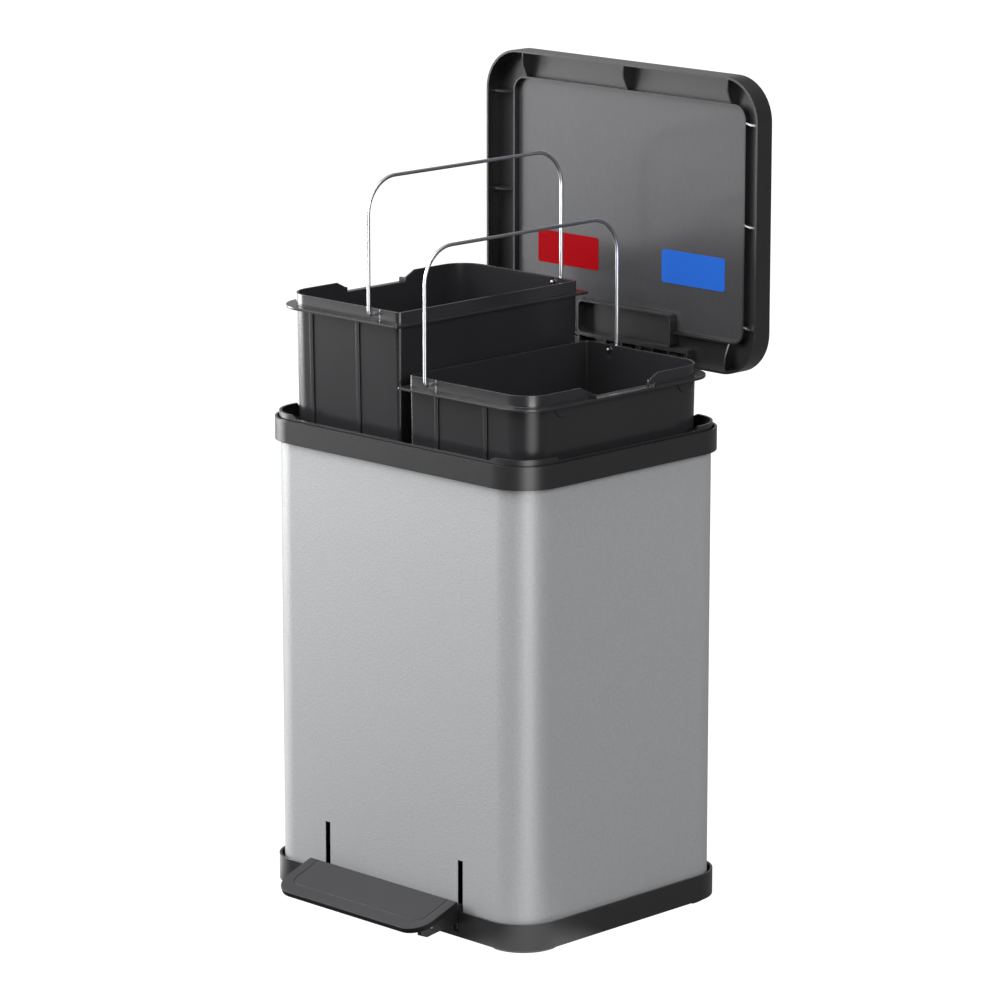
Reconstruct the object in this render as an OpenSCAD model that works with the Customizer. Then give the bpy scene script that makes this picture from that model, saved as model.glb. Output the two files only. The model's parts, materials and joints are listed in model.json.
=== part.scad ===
// Double recycling bin: sheet casing in a moulded base and top frame, two lift-out buckets with wire
// bails, and a deep lid that a pedal opens by a rod behind the casing. Drawn as it stands in use: the
// pedal is down, the lid is open and both buckets are drawn up. X runs across the front, Y to the back.

/* [Casing] */
// Width of the sheet casing
case_w = 380; // [340:1:420]
// Depth of the sheet casing
case_d = 300; // [290:1:330]
// Height of the sheet casing
case_h = 487; // [440:1:560]
// Radius of the casing's upright corners
case_r = 40; // [32:1:50]
// Thickness of the sheet
sheet_t = 0.8; // [0.6:0.1:1.2]

/* [Base] */
// Height of the corner feet
foot_h = 6.5; // [4:0.5:12]
// Length of a foot along the front
foot_x = 55; // [40:1:60]
// Length of a foot along the side
foot_y = 58; // [46:1:70]
// Thickness of the tray's floor
floor_t = 3; // [2:0.5:5]
// Height of the base ring above the feet
ring_h = 25.3; // [20:0.1:30]
// How far the ring's skirt hangs below the tray's floor
ring_drop = 2.1; // [1:0.1:3]
// How far the base and the top frame stand out from the sheet
rim_out = 6; // [5:0.5:8]
// Wall of the base ring and of the frame's band
rim_wall = 2.5; // [2:0.1:3]

/* [Top frame] */
// How far the band hangs below the casing's top edge
band_down = 12.5; // [9:0.5:20]
// How far the band rises above the casing's top edge
band_up = 11.5; // [9:0.5:16]
// Thickness of the ledge that the buckets stand on
ledge_t = 3; // [2:0.5:5]
// Open groove between the band and the inner collar
groove_w = 2; // [1.5:0.1:3]
// Wall of the inner collar
collar_wall = 2.7; // [2:0.1:3.5]
// Rise of the inner collar above the band along the sides
collar_up = 2; // [1:0.1:3]
// Further rise of the inner collar at the four corners
corner_up = 4; // [2:0.1:5]
// Width of the ledge along the left and right sides
ledge_x = 7.3; // [6:0.1:9]
// Width of the ledge along the front and back
ledge_y = 15.5; // [12:0.1:17]

/* [Lid] */
// Depth of the lid from its rim to its top face
lid_depth = 22.4; // [20:0.1:30]
// Thickness of the lid's top
lid_top_t = 2.4; // [2:0.1:4]
// Gap between the closed lid's rim and the band
lid_gap = 0.4; // [0.3:0.1:1]
// Width of the channel round the lid's inside at the left and right
channel_x = 28; // [24:0.5:36]
// Width of the channel at the lid's front and back edges
channel_y = 29.8; // [24:0.1:36]
// Distance of the hinge axis behind the closed lid
hinge_out = 36.1; // [34:0.1:40]
// Height of the hinge axis above the band
hinge_up = 7.5; // [6.5:0.1:9]
// Diameter of the hinge pin
hinge_pin_d = 6; // [5:0.5:7]

/* [Buckets] */
// Height of a bucket below its flange
bucket_h = 385; // [300:1:400]
// Height of a bucket's collar above the flange
bucket_collar_h = 12; // [10:0.5:16]
// Wall of a bucket
bucket_wall = 2.5; // [2:0.1:3]
// Thickness of the flange
flange_t = 3; // [2:0.5:4]
// Draft of a bucket's sides in degrees
draft = 1; // [0.5:0.1:2.5]
// How far the left bucket is drawn up
left_up = 123.3; // [0:0.1:140]
// How far the right bucket is drawn up
right_up = 61.2; // [0:0.1:140]

/* [Bails] */
// Diameter of the bail wire
wire_d = 3.8; // [3:0.1:4.2]
// Height of a bail's grip above its journals
bail_h = 140; // [140:0.1:142]
// Bend radius at a bail's upper corners
bail_r = 38; // [20:1:40]

/* [Pedal] */
// Half the width of the tread
tread_half = 109.7; // [106:0.1:125]
// Length of the tread from back to front along its slope
tread_l = 60.3; // [55:0.1:70]
// Thickness of the tread
tread_t = 6; // [5:0.5:8]
// Slope of the pressed tread in degrees
tread_tilt = 19.8; // [15:0.1:22]
// Distance of each arm from the middle
arm_x = 98.8; // [90:0.1:101]
// Thickness of an arm
arm_t = 5; // [3:0.5:5.5]
// Travel of the pedal in degrees
stroke = 12.8; // [10:0.1:13]
// Length of the lever from its axle to the rod
lever_l = 126.7; // [120:0.1:130]
// Diameter of the axle
axle_d = 8; // [6:0.5:9]
// Diameter of the push rod
rod_d = 6; // [5:0.5:7]

/* [Hidden] */
$fn = 96;
// Steps of each corner's arc on a bucket's drafted wall
arc_steps = 9;

// Overrun of every cut
cut = 1;
// Radial gap of a running fit, gap of a seated piece, and gap beside a moving piece
run_fit = 0.06;
seat_gap = 0.3;
side_gap = 1;

// Heights that the casing's stack gives
floor_top = foot_h + floor_t;
ring_top = foot_h + ring_h;
case_top = floor_top + case_h;
band_low = case_top - band_down;
band_top = case_top + band_up;
ledge_top = case_top + ledge_t;
collar_top = band_top + collar_up;
corner_top = collar_top + corner_up;

// Outline of the base, the band and the lid
rim_w = case_w + 2 * rim_out;
rim_d = case_d + 2 * rim_out;
rim_r = case_r + rim_out;
front_y = -rim_d / 2;
back_y = rim_d / 2;

// Recess that the buckets stand in, and the opening in its ledge
collar_in = rim_wall + groove_w;
recess_in = collar_in + collar_wall;
recess_w = rim_w - 2 * recess_in;
recess_d = rim_d - 2 * recess_in;
recess_r = rim_r - recess_in;
open_w = recess_w - 2 * ledge_x;
open_d = recess_d - 2 * ledge_y;
open_r = 34;
// Upright lip that holds the sheet from inside, and how tall it is
lip_t = 2;
lip_h = 10.5;
// Raised corners of the collar: where each ramp starts and how long it is, from the band's corner
ramp_x = 55;
ramp_x_l = 9;
ramp_y = 55;
ramp_y_l = 4;

// Hinge axis, and the open lid's place
hinge_y = back_y + hinge_out;
hinge_z = band_top + hinge_up;
lid_rim_y = hinge_y - (hinge_up - lid_gap);
lid_low = hinge_z + hinge_out;
lid_mid = lid_low + rim_d / 2;
lid_back_y = lid_rim_y + lid_depth;
lid_floor = lid_depth - lid_top_t;
// Inner wall round the panel, and how far its edge lies behind the lid's rim
inner_wall_t = 2;
inner_wall_r = 16;
inner_edge = 13;
panel_w = rim_w - 2 * channel_x;
panel_d = rim_d - 2 * channel_y;
panel_t = 0.6;
// Ribs across the channel: thickness, depth behind the rim, and the level stretch beside the skirt
rib_t = 2;
rib_edge = 6.5;
rib_level = 13.5;
rib_x = 148;
rib_side_up = 108;
rib_side_mid = 1.5;
// Labels: height above the lid's lower edge, size, and distance inside the channel's edge
label_up = 82.2;
label_w = 89.6;
label_h = 35.5;
label_r = 3;
label_in = 32.2;
label_x = panel_w / 2 - label_in - label_w / 2;
label_t = 0.3;
strip_t = 0.2;
strip_margin = 4;

// Hinge block: box above, ledge with pigeon holes below, and the notch in the skirt for its arms
box_half = 68;
box_low = 12.4;
box_top = 50.4;
box_edge = 9;
box_wall = 2;
box_floor_t = 2;
box_r = 7;
shelf_half = 93;
shelf_top = 15.4;
shelf_lip = 4;
shelf_shares = [-0.703, -0.276, -0.028, 0.459, 0.703];
gap_half = 90;
gap_edge = 16;
// Lid arms and their heels
lid_arm_x = 70;
lid_arm_w = 12;
root_in = 3;
root_h = 9;
lid_arm_front = 4.5;
lid_arm_back = 7.5;
arm_eye_r = 6.5;
heel_y = 10;
heel_z = 9.9;
// Crank: radius, its angle above level when the lid is open, its pin and its cheeks
crank_r = 20;
crank_a = 45;
crank_pin_d = 5;
crank_eye_r = 5.5;
crank_pin_y = hinge_y - crank_r * cos(crank_a);
crank_pin_z = hinge_z + crank_r * sin(crank_a);
cheek_t = 5;
// Thickness of the rod's flat ends, and half the fork gap that takes them
eye_t = 4;
fork_gap = 0.6;
fork_half = eye_t / 2 + fork_gap;
fork_y = 1.1;

// Rod line, lever and pedal axle
rod_y = hinge_y - crank_r * (1 + cos(crank_a)) / 2;
lever_a = stroke / 2;
axle_y = rod_y - lever_l * (1 + cos(lever_a)) / 2;
axle_up = 20.5;
axle_z = floor_top + axle_up;
lever_pin_y = axle_y + lever_l * cos(lever_a);
lever_pin_z = axle_z + lever_l * sin(lever_a);
lever_pin_d = 6;
rod_stroke = 2 * lever_l * sin(lever_a);
// Rod's lower eye, and its long upper eye with free travel below the crank pin
low_eye_r = 7.5;
low_eye_play = 0.6;
low_eye_fit = 0.15;
free_down = 2;
eye_wall = 3;
eye_half = crank_r * (1 - cos(crank_a)) / 2 + crank_pin_d / 2 + seat_gap;
eye_low = crank_pin_z - crank_pin_d / 2 - free_down;
eye_high = crank_pin_z + crank_pin_d / 2 + rod_stroke + side_gap;
eye_neck = 14;
eye_stem = 13;

// Axle bosses, clips, crossbar and the lever's tongue
boss_t = 8;
boss_half = 10;
clip_t = 1.2;
clip_r = 6.5;
groove_depth = 1;
axle_end = 4;
bar_back = 50;
bar_d = 8;
bar_y = axle_y + bar_back * cos(lever_a);
bar_z = axle_z + bar_back * sin(lever_a);
bar_eye_r = 8;
tongue_half_h = 7;
tongue_cheek = 3;
tongue_half = fork_half + tongue_cheek;
tongue_front = 8;
fork_l = 18;

// Slots in the casing for the arms and for the tongue, with matching notches in the ring
slot_w = 7.2;
slot_top = 84;
back_slot_play = 2.5;
back_slot_w = 2 * (tongue_half + back_slot_play);
back_slot_top = 60;

// Pressed tread: height of its back edge, its distance from the ring, corners and groove
tread_back_z = 46;
tread_gap = 9.3;
tread_back_y = front_y - tread_gap;
tread_r = 25;
tread_front_y = tread_back_y - tread_l * cos(tread_tilt);
tread_groove_w = 2;
tread_groove_t = 1.2;
tread_groove_side = 12;
tread_groove_front = 15;
// Arm outline: half height along the lever, and heights of the underside under the tread
arm_half_h = 9;
arm_nose = 13;
arm_fall = 1.5;
arm_under_shares = [[0, 1], [0.15, 0.7], [0.525, 0.85], [1, 1]];
arm_under_z = 20;
lug_t = 4;
lug_half = 9;
lug_drop = 12;

// Hinge bracket and its ears
bracket_half = 85;
bracket_t = 4;
bracket_low = 44.5;
bracket_z0 = case_top - bracket_low;
bracket_top = 2;
ear_t = 4;
ear_r = 8;
ear_low = 26;
stop_y = 11;
stop_t = 3;
stop_l = 7;
ear_low_y = 2;
ear_low_z = 15.5;
ear_gap = 1;
cap_r = 5;
cap_l = 7;
cap_seat = 5;

// Screws: shank, head radius and height
screw_d = 3;
screw_head_r = 3.4;
screw_head_h = 2.2;
// Guides of the rod on the back sheet: the lower one's height, the upper one's drop below the band's top
guide_low_z = 120;
guide_high_drop = 78;
guide_high_z = band_top - guide_high_drop;
guide_half = 21;
guide_plate_t = 4;
guide_half_h = 8;
guide_block = 7;
guide_screw_x = 14;
screw_bite = 2;
bracket_screw_x = [-70, -28, 28, 70];
bracket_screw_high = 16;
bracket_screw_low = 12;
lid_screw_xs = [14, 84];
// Screws that hold the feet
foot_screw_in = 31;
foot_head_r = 4.5;
foot_boss_r = 6;
foot_boss_h = 12;
foot_screw_l = 12;
foot_sink = 4;
foot_edge = 0.2;

// Buckets: flange margins, corners and the gap between both flanges in the middle
bucket_gap = 1;
flange_inner = 5.7;
flange_outer = 8.5;
flange_ends = 10.5;
flange_clear = 1.8;
flange_r_outer = 37;
flange_r_inner = 3;
bucket_r_outer = 31;
bucket_r_inner = 6;
flange_end_gap = 6.6;
flange_edge = recess_w / 2 - flange_clear;
bucket_x0 = bucket_gap / 2 + flange_inner;
bucket_x1 = flange_edge - flange_outer;
bucket_w = bucket_x1 - bucket_x0;
bucket_x = (bucket_x0 + bucket_x1) / 2;
bucket_d = recess_d - 2 * flange_end_gap - 2 * flange_ends;
bucket_top = flange_t + bucket_collar_h;
// Wall's step in below the collar, least corner radius and fillet of the bottom
wall_step = 0.3;
least_r = 2;
bottom_r = 12;
fillet_steps = 4;
// Ribs and half round pads of a bucket
bucket_rib = 2.5;
bucket_rib_out = 1.5;
bucket_rib_xs = [-44.5, 25];
bucket_rib_end = 25;
pad_r = 12;
pad_drop = 1.5;
pad_out = 1.2;
pad_ys = [-82, 98];
// Cut-out in the outer collar, with a fin at each end that the folded bail lies on
scoop_half = 57;
scoop_low_half = 44.5;
scoop_drop = 6.3;
tab_in = 42.8;
tab_w = 2.2;
tab_drop = 7.4;
tab_out = 8;
// Bail journals: place from the bucket's middle, depth below the collar's top, pocket behind them
journal_x = -51.55;
journal_drop = 5.2;
pocket_w = 6.5;
pocket_h = 10;
pocket_t = 1;
pocket_up = 2;
dish_w = 14;
dish_t = 0.8;
// Bail legs outside the collar, small bend at the journals and the journals' ends
leg_out = 9.5;
journal_r = 4.5;
journal_end = 1.6;

// The origin is the middle of the whole part's outline on the floor
shift_y = -(tread_front_y + lid_back_y) / 2;

module placed() translate([0, shift_y, 0]) children();

// Rectangle with four like corners
module rounded(w, d, r) {
    square([w - 2 * r, d], center = true);
    square([w, d - 2 * r], center = true);
    for (sx = [-1, 1], sy = [-1, 1])
        translate([sx * (w / 2 - r), sy * (d / 2 - r)]) circle(r);
}

module wall_ring(w, d, r, t) difference() {
    rounded(w, d, r);
    rounded(w - 2 * t, d - 2 * t, r - t);
}

// Rectangle with corners r_out on the +x side and r_in on the -x side
module bucket_plan(w, d, r_out, r_in) {
    translate([-w / 2 + r_in, -d / 2]) square([w - r_in - r_out, d]);
    translate([w / 2 - 2 * r_out, -d / 2 + r_out]) square([2 * r_out, d - 2 * r_out]);
    translate([-w / 2, -d / 2 + r_in]) square([2 * r_in, d - 2 * r_in]);
    for (sy = [-1, 1]) {
        translate([w / 2 - r_out, sy * (d / 2 - r_out)]) circle(r_out);
        translate([-w / 2 + r_in, sy * (d / 2 - r_in)]) circle(r_in);
    }
}

// Bar along X between x0 and x1 with a round section
module pin_x(x0, x1, y, z, d) translate([x0, y, z]) rotate([0, 90, 0]) cylinder(h = x1 - x0, d = d);

// Plate across X between x0 and x1 whose outline is drawn in Y and Z
module plate_x(x0, x1) translate([x0, 0, 0]) rotate([90, 0, 90]) linear_extrude(x1 - x0) children();

// Slab of the open lid between two depths behind its rim, drawn in X and Z
module lid_slab(near, far)
    translate([0, lid_rim_y + far, 0]) rotate([90, 0, 0]) linear_extrude(far - near) children();

// Screw with its head's seat at the origin and its shank down -Z
module screw(d, l, head_r, head_h) {
    cylinder(h = head_h, r1 = head_r, r2 = head_r * head_taper);
    translate([0, 0, -l]) cylinder(h = l, d = d);
}
head_taper = 0.75;

module body_shell() color("silver") difference() {
    translate([0, 0, floor_top]) linear_extrude(case_h) wall_ring(case_w, case_d, case_r, sheet_t);
    arm_slots(slot_top);
    tongue_slot(back_slot_top);
    guide_screw_places() cylinder(h = 2 * guide_half, d = screw_d + 2 * run_fit, center = true);
    bracket_screw_places(bracket_z0 + bracket_screw_low)
        cylinder(h = 2 * guide_half, d = screw_d + 2 * run_fit, center = true);
}

// Both slots for the arms, from the tray's floor up to a height
module arm_slots(top) for (sx = [-1, 1])
    translate([sx * arm_x - slot_w / 2, front_y - cut, floor_top])
        cube([slot_w, rim_out + rim_wall + lip_t + 2 * cut, top - floor_top]);

module tongue_slot(top)
    translate([-back_slot_w / 2, back_y - rim_out - rim_wall - lip_t - cut, floor_top])
        cube([back_slot_w, rim_out + rim_wall + lip_t + 2 * cut, top - floor_top]);

// Lip inside the sheet, clear of it
module lip(z) translate([0, 0, z]) linear_extrude(lip_h)
    wall_ring(case_w - 2 * (sheet_t + seat_gap), case_d - 2 * (sheet_t + seat_gap),
        case_r - sheet_t - seat_gap, lip_t);

module foot_places() for (sx = [-1, 1], sy = [-1, 1])
    translate([sx * (rim_w / 2 - foot_screw_in), sy * (rim_d / 2 - foot_screw_in), 0]) children();

module base_tray() color("#3a3a3a") difference() {
    union() {
        translate([0, 0, foot_h]) linear_extrude(floor_t) rounded(rim_w, rim_d, rim_r);
        translate([0, 0, foot_h - ring_drop])
            linear_extrude(ring_drop + ring_h) wall_ring(rim_w, rim_d, rim_r, rim_wall);
        lip(floor_top);
        foot_places() translate([0, 0, foot_h]) cylinder(h = foot_boss_h, r = foot_boss_r);
        for (side = [-1, 1], near = [0, 1]) axle_boss(side, near);
    }
    arm_slots(ring_top + cut);
    tongue_slot(ring_top + cut);
    foot_places() cylinder(h = foot_sink + foot_screw_l + cut, d = screw_d + 2 * run_fit);
    pin_x(-tread_half - boss_t, tread_half + boss_t, axle_y, axle_z, axle_d + 2 * run_fit);
}

// Axle boss beyond each arm, outside it (near = 0) or inside it (near = 1)
module axle_boss(side, near) {
    gap = arm_t / 2 + side_gap + boss_t / 2;
    x = side * (arm_x + (near == 0 ? gap : -gap));
    plate_x(x - boss_t / 2, x + boss_t / 2) {
        translate([axle_y - boss_half, floor_top - cut])
            square([2 * boss_half, axle_z - floor_top + cut]);
        translate([axle_y, axle_z]) circle(boss_half);
    }
}

// Outline of the foot at one corner, drawn in all round from the ring's outer face
module foot_outline(sx, sy, in) intersection() {
    rounded(rim_w - 2 * in, rim_d - 2 * in, rim_r - in);
    translate([sx * (rim_w - foot_x) / 2, sy * (rim_d - foot_y) / 2])
        square([foot_x - 2 * in, foot_y - 2 * in], center = true);
}

// Each foot fits inside the ring's skirt and slopes in below it
module corner_feet() color("#2a2a2a") difference() {
    in = rim_wall + seat_gap;
    slope = foot_h - ring_drop;
    for (sx = [-1, 1], sy = [-1, 1]) hull() {
        translate([0, 0, slope]) linear_extrude(ring_drop) foot_outline(sx, sy, in);
        linear_extrude(foot_edge) foot_outline(sx, sy, in + slope);
    }
    foot_places() translate([0, 0, -cut]) cylinder(h = foot_sink + cut, r = foot_head_r + seat_gap);
    foot_places() cylinder(h = foot_h + cut, d = screw_d + 2 * run_fit);
}

module base_screws() color("#8a8c90") foot_places()
    translate([0, 0, foot_sink]) rotate([180, 0, 0])
        screw(screw_d, foot_screw_l, foot_head_r, screw_head_h);

module top_frame() color("#3a3a3a") difference() {
    union() {
        translate([0, 0, band_low]) linear_extrude(band_top - band_low)
            wall_ring(rim_w, rim_d, rim_r, rim_wall);
        translate([0, 0, case_top]) linear_extrude(corner_top - case_top)
            wall_ring(rim_w - 2 * collar_in, rim_d - 2 * collar_in, rim_r - collar_in, collar_wall);
        translate([0, 0, case_top]) linear_extrude(ledge_t) difference() {
            rounded(rim_w - rim_wall, rim_d - rim_wall, rim_r - rim_wall / 2);
            rounded(open_w, open_d, open_r);
        }
        lip(case_top - lip_h);
    }
    ramp_cut(rim_w / 2 - ramp_x, ramp_x_l, rim_d);
    rotate([0, 0, 90]) ramp_cut(rim_d / 2 - ramp_y, ramp_y_l, rim_w);
    bracket_screw_places(-bracket_screw_high)
        cylinder(h = 2 * (bracket_t + rim_wall), d = screw_d + 2 * run_fit, center = true);
}

// Lowers the collar between two ramps along one direction
module ramp_cut(half, l, across) rotate([90, 0, 0]) linear_extrude(across, center = true)
    polygon([[-half, collar_top], [half, collar_top], [half + l, corner_top + cut],
        [-half - l, corner_top + cut]]);

// Screws of the bracket at one height, measured from the band's top where negative
module bracket_screw_places(z) for (x = bracket_screw_x)
    translate([x, back_y + bracket_t, z < 0 ? band_top + z : z]) rotate([-90, 0, 0]) children();

// Outline of an ear: from the plate out to the axis, and down to the lid's stop
module ear_outline() {
    polygon([[back_y + bracket_t / 2, band_top - bracket_top - ear_low],
        [back_y + bracket_t / 2, band_top - bracket_top],
        [hinge_y, hinge_z + ear_r],
        [hinge_y + ear_r, hinge_z],
        [hinge_y + stop_y, hinge_z - heel_z - seat_gap],
        [hinge_y + stop_y, hinge_z - heel_z - seat_gap - stop_t],
        [hinge_y - ear_low_y, hinge_z - ear_low_z]]);
    translate([hinge_y, hinge_z]) circle(ear_r);
}

module hinge_bracket() color("#2e2e2e") difference() {
    union() {
        translate([-bracket_half, back_y, bracket_z0])
            cube([2 * bracket_half, bracket_t, band_top - bracket_top - bracket_z0]);
        translate([-bracket_half, back_y - rim_out, bracket_z0])
            cube([2 * bracket_half, rim_out + bracket_t, bracket_low - band_down - side_gap]);
        for (side = [-1, 1], end = [-1, 1]) {
            x = side * lid_arm_x + end * (lid_arm_w / 2 + ear_gap + ear_t / 2);
            plate_x(x - ear_t / 2, x + ear_t / 2) ear_outline();
        }
        for (side = [-1, 1])
            translate([side * lid_arm_x - lid_arm_w / 2 - ear_gap - ear_t / 2,
                hinge_y + stop_y - stop_l, hinge_z - heel_z - seat_gap - stop_t])
                cube([lid_arm_w + 2 * ear_gap + ear_t, stop_l, stop_t]);
    }
    pin_x(-bracket_half - cut, bracket_half + cut, hinge_y, hinge_z, hinge_pin_d + 2 * run_fit);
    bracket_screw_places(-bracket_screw_high)
        cylinder(h = 2 * (bracket_t + cut), d = screw_d + 2 * run_fit, center = true);
    bracket_screw_places(bracket_z0 + bracket_screw_low)
        cylinder(h = 2 * (bracket_t + rim_out + cut), d = screw_d + 2 * run_fit, center = true);
}

module bracket_screws() color("#8a8c90") {
    bracket_screw_places(-bracket_screw_high)
        screw(screw_d, bracket_t + rim_wall + screw_bite / 2, screw_head_r, screw_head_h);
    bracket_screw_places(bracket_z0 + bracket_screw_low)
        screw(screw_d, bracket_t + rim_out + sheet_t + screw_bite, screw_head_r, screw_head_h);
}

// Outer face of the outer ears
ear_end = lid_arm_x + lid_arm_w / 2 + ear_gap + ear_t;

module hinge_pin() color("#b8bcc2")
    pin_x(-ear_end - cap_seat, ear_end + cap_seat, hinge_y, hinge_z, hinge_pin_d);

module hinge_pin_caps() color("#1e1e1e") for (side = [0, 1]) mirror([side, 0, 0]) difference() {
    pin_x(ear_end + seat_gap, ear_end + seat_gap + cap_l, hinge_y, hinge_z, 2 * cap_r);
    pin_x(ear_end, ear_end + cap_seat + seat_gap, hinge_y, hinge_z, hinge_pin_d + 2 * run_fit);
}

// Guide plate against the back sheet with a bored block round the rod
module rod_guide(z) color("#3a3a3a") difference() {
    union() {
        translate([-guide_half, back_y - rim_out, z - guide_half_h])
            cube([2 * guide_half, guide_plate_t, 2 * guide_half_h]);
        translate([-guide_block, back_y - rim_out, z - guide_half_h])
            cube([2 * guide_block, rod_y + guide_block - back_y + rim_out, 2 * guide_half_h]);
    }
    translate([0, rod_y, z]) cylinder(h = 2 * guide_half_h + cut, d = rod_d + 2 * run_fit, center = true);
    guide_screw_places() cylinder(h = 2 * guide_half, d = screw_d + 2 * run_fit, center = true);
}

module rod_guide_upper() rod_guide(guide_high_z);
module rod_guide_lower() rod_guide(guide_low_z);

module guide_screw_places() for (z = [guide_low_z, guide_high_z], side = [-1, 1])
    translate([side * guide_screw_x, back_y - rim_out + guide_plate_t, z]) rotate([-90, 0, 0])
        children();

module rod_guide_screws() color("#8a8c90") guide_screw_places()
    screw(screw_d, guide_plate_t + sheet_t + screw_bite, screw_head_r, screw_head_h);

// Outer face of the outer axle bosses
boss_end = arm_x + arm_t / 2 + side_gap + boss_t;

module pedal_axle() color("#b8bcc2") difference() {
    pin_x(-boss_end - axle_end, boss_end + axle_end, axle_y, axle_z, axle_d);
    for (side = [0, 1]) mirror([side, 0, 0]) difference() {
        pin_x(boss_end + seat_gap, boss_end + 2 * seat_gap + clip_t, axle_y, axle_z, axle_d + cut);
        pin_x(boss_end, boss_end + axle_end, axle_y, axle_z, axle_d - 2 * groove_depth);
    }
}

module axle_clips() color("#8a8c90") for (side = [0, 1]) mirror([side, 0, 0]) {
    x = boss_end + seat_gap + seat_gap / 2;
    difference() {
        pin_x(x, x + clip_t, axle_y, axle_z, 2 * clip_r);
        pin_x(x - cut, x + clip_t + cut, axle_y, axle_z, axle_d - 2 * groove_depth + 2 * run_fit);
        translate([x - cut, axle_y - axle_d / 4, axle_z - clip_r - cut])
            cube([clip_t + 2 * cut, axle_d / 2, clip_r]);
    }
}

// The pressed tread's own frame: origin on the middle of its back edge's top, -Y down the slope
module tread_frame() translate([0, tread_back_y, tread_back_z]) rotate([tread_tilt, 0, 0]) children();

// Tread outline drawn in by a side and a front inset
module tread_plan(side, front) {
    half = tread_half - side;
    l = tread_l - front;
    r = tread_r - side;
    translate([-half, -l + r]) square([2 * half, l - r]);
    translate([-half + r, -l]) square([2 * (half - r), r + cut]);
    for (sx = [-1, 1]) translate([sx * (half - r), -l + r]) circle(r);
}

// Places of the tread's screws, in Y and Z
lug_mid_y = tread_back_y - tread_l / 2 * cos(tread_tilt);
lug_top_z = tread_back_z - tread_l / 2 * sin(tread_tilt) - tread_t / cos(tread_tilt);
lug_screw_z = lug_top_z - lug_drop / 2;

module pedal_tread() color("#4c4c4e") difference() {
    union() {
        tread_frame() translate([0, 0, -tread_t]) linear_extrude(tread_t) tread_plan(0, 0);
        for (side = [0, 1]) mirror([side, 0, 0]) {
            x = arm_x - arm_t / 2 - seat_gap - lug_t;
            plate_x(x, x + lug_t) translate([lug_mid_y - lug_half, lug_top_z - lug_drop])
                square([2 * lug_half, lug_drop + tread_t / 2]);
        }
    }
    tread_frame() translate([0, 0, -tread_groove_t]) linear_extrude(tread_groove_t + cut)
        difference() {
            tread_plan(tread_groove_side, tread_groove_front);
            tread_plan(tread_groove_side + tread_groove_w, tread_groove_front + tread_groove_w);
        }
    pin_x(-arm_x, arm_x, lug_mid_y, lug_screw_z, screw_d + 2 * run_fit);
}

// Arm outline from its nose under the tread, through the slot, to the crossbar
module arm_outline() difference() {
    union() {
        polygon(concat([
            [bar_y, bar_z - bar_eye_r],
            [bar_y, bar_z + bar_eye_r],
            [axle_y, axle_z + arm_half_h],
            [front_y + rim_out, axle_z + arm_half_h - arm_fall],
            [tread_back_y, arm_top(tread_back_y)],
            [tread_front_y + arm_nose, arm_top(tread_front_y + arm_nose)]],
            [for (s = arm_under_shares) let (y0 = tread_front_y + arm_nose)
                [y0 + (s[0] == 0 ? 0 : s[0] * (front_y + rim_out - y0)),
                    s[0] == 0 ? arm_top(y0) - tread_t * s[1] : arm_under_z * s[1]]],
            [[axle_y, axle_z - arm_half_h]]));
        translate([axle_y, axle_z]) circle(arm_half_h);
        translate([bar_y, bar_z]) circle(bar_eye_r);
    }
    translate([axle_y, axle_z]) circle(d = axle_d + 2 * run_fit);
    translate([bar_y, bar_z]) circle(d = bar_d + 2 * run_fit);
    translate([lug_mid_y, lug_screw_z]) circle(d = screw_d + 2 * run_fit);
}

// Height of the tread's underside, less the seat's gap, at a place along Y
function arm_top(y) = tread_back_z - tread_t / cos(tread_tilt) - seat_gap
    + (y - tread_back_y) * tan(tread_tilt);

module pedal_arm_left() color("#9a9ca0") plate_x(-arm_x - arm_t / 2, -arm_x + arm_t / 2) arm_outline();
module pedal_arm_right() color("#9a9ca0") plate_x(arm_x - arm_t / 2, arm_x + arm_t / 2) arm_outline();

module pedal_crossbar() color("#9a9ca0")
    pin_x(-arm_x - arm_t / 2, arm_x + arm_t / 2, bar_y, bar_z, bar_d);

module pedal_tongue() color("#9a9ca0") difference() {
    plate_x(-tongue_half, tongue_half)
        translate([bar_y, bar_z]) rotate(lever_a) {
            translate([0, -tongue_half_h]) square([lever_l - bar_back, 2 * tongue_half_h]);
            circle(tongue_front);
            translate([lever_l - bar_back, 0]) circle(tongue_half_h);
        }
    translate([-fork_half, lever_pin_y - fork_l / 2, 0])
        cube([2 * fork_half, fork_l, lever_pin_z + fork_l]);
    pin_x(-tongue_half - cut, tongue_half + cut, bar_y, bar_z, bar_d + 2 * run_fit);
    pin_x(-tongue_half - cut, tongue_half + cut, lever_pin_y, lever_pin_z, lever_pin_d + 2 * run_fit);
}

module tread_screws() color("#8a8c90") for (side = [0, 1]) mirror([side, 0, 0])
    translate([arm_x - arm_t / 2 - seat_gap - lug_t, lug_mid_y, lug_screw_z]) rotate([0, -90, 0])
        screw(screw_d, lug_t + seat_gap + arm_t, screw_head_r, screw_head_h);

module lever_pin() color("#b8bcc2")
    pin_x(-tongue_half - side_gap, tongue_half + side_gap, lever_pin_y, lever_pin_z, lever_pin_d);

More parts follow.
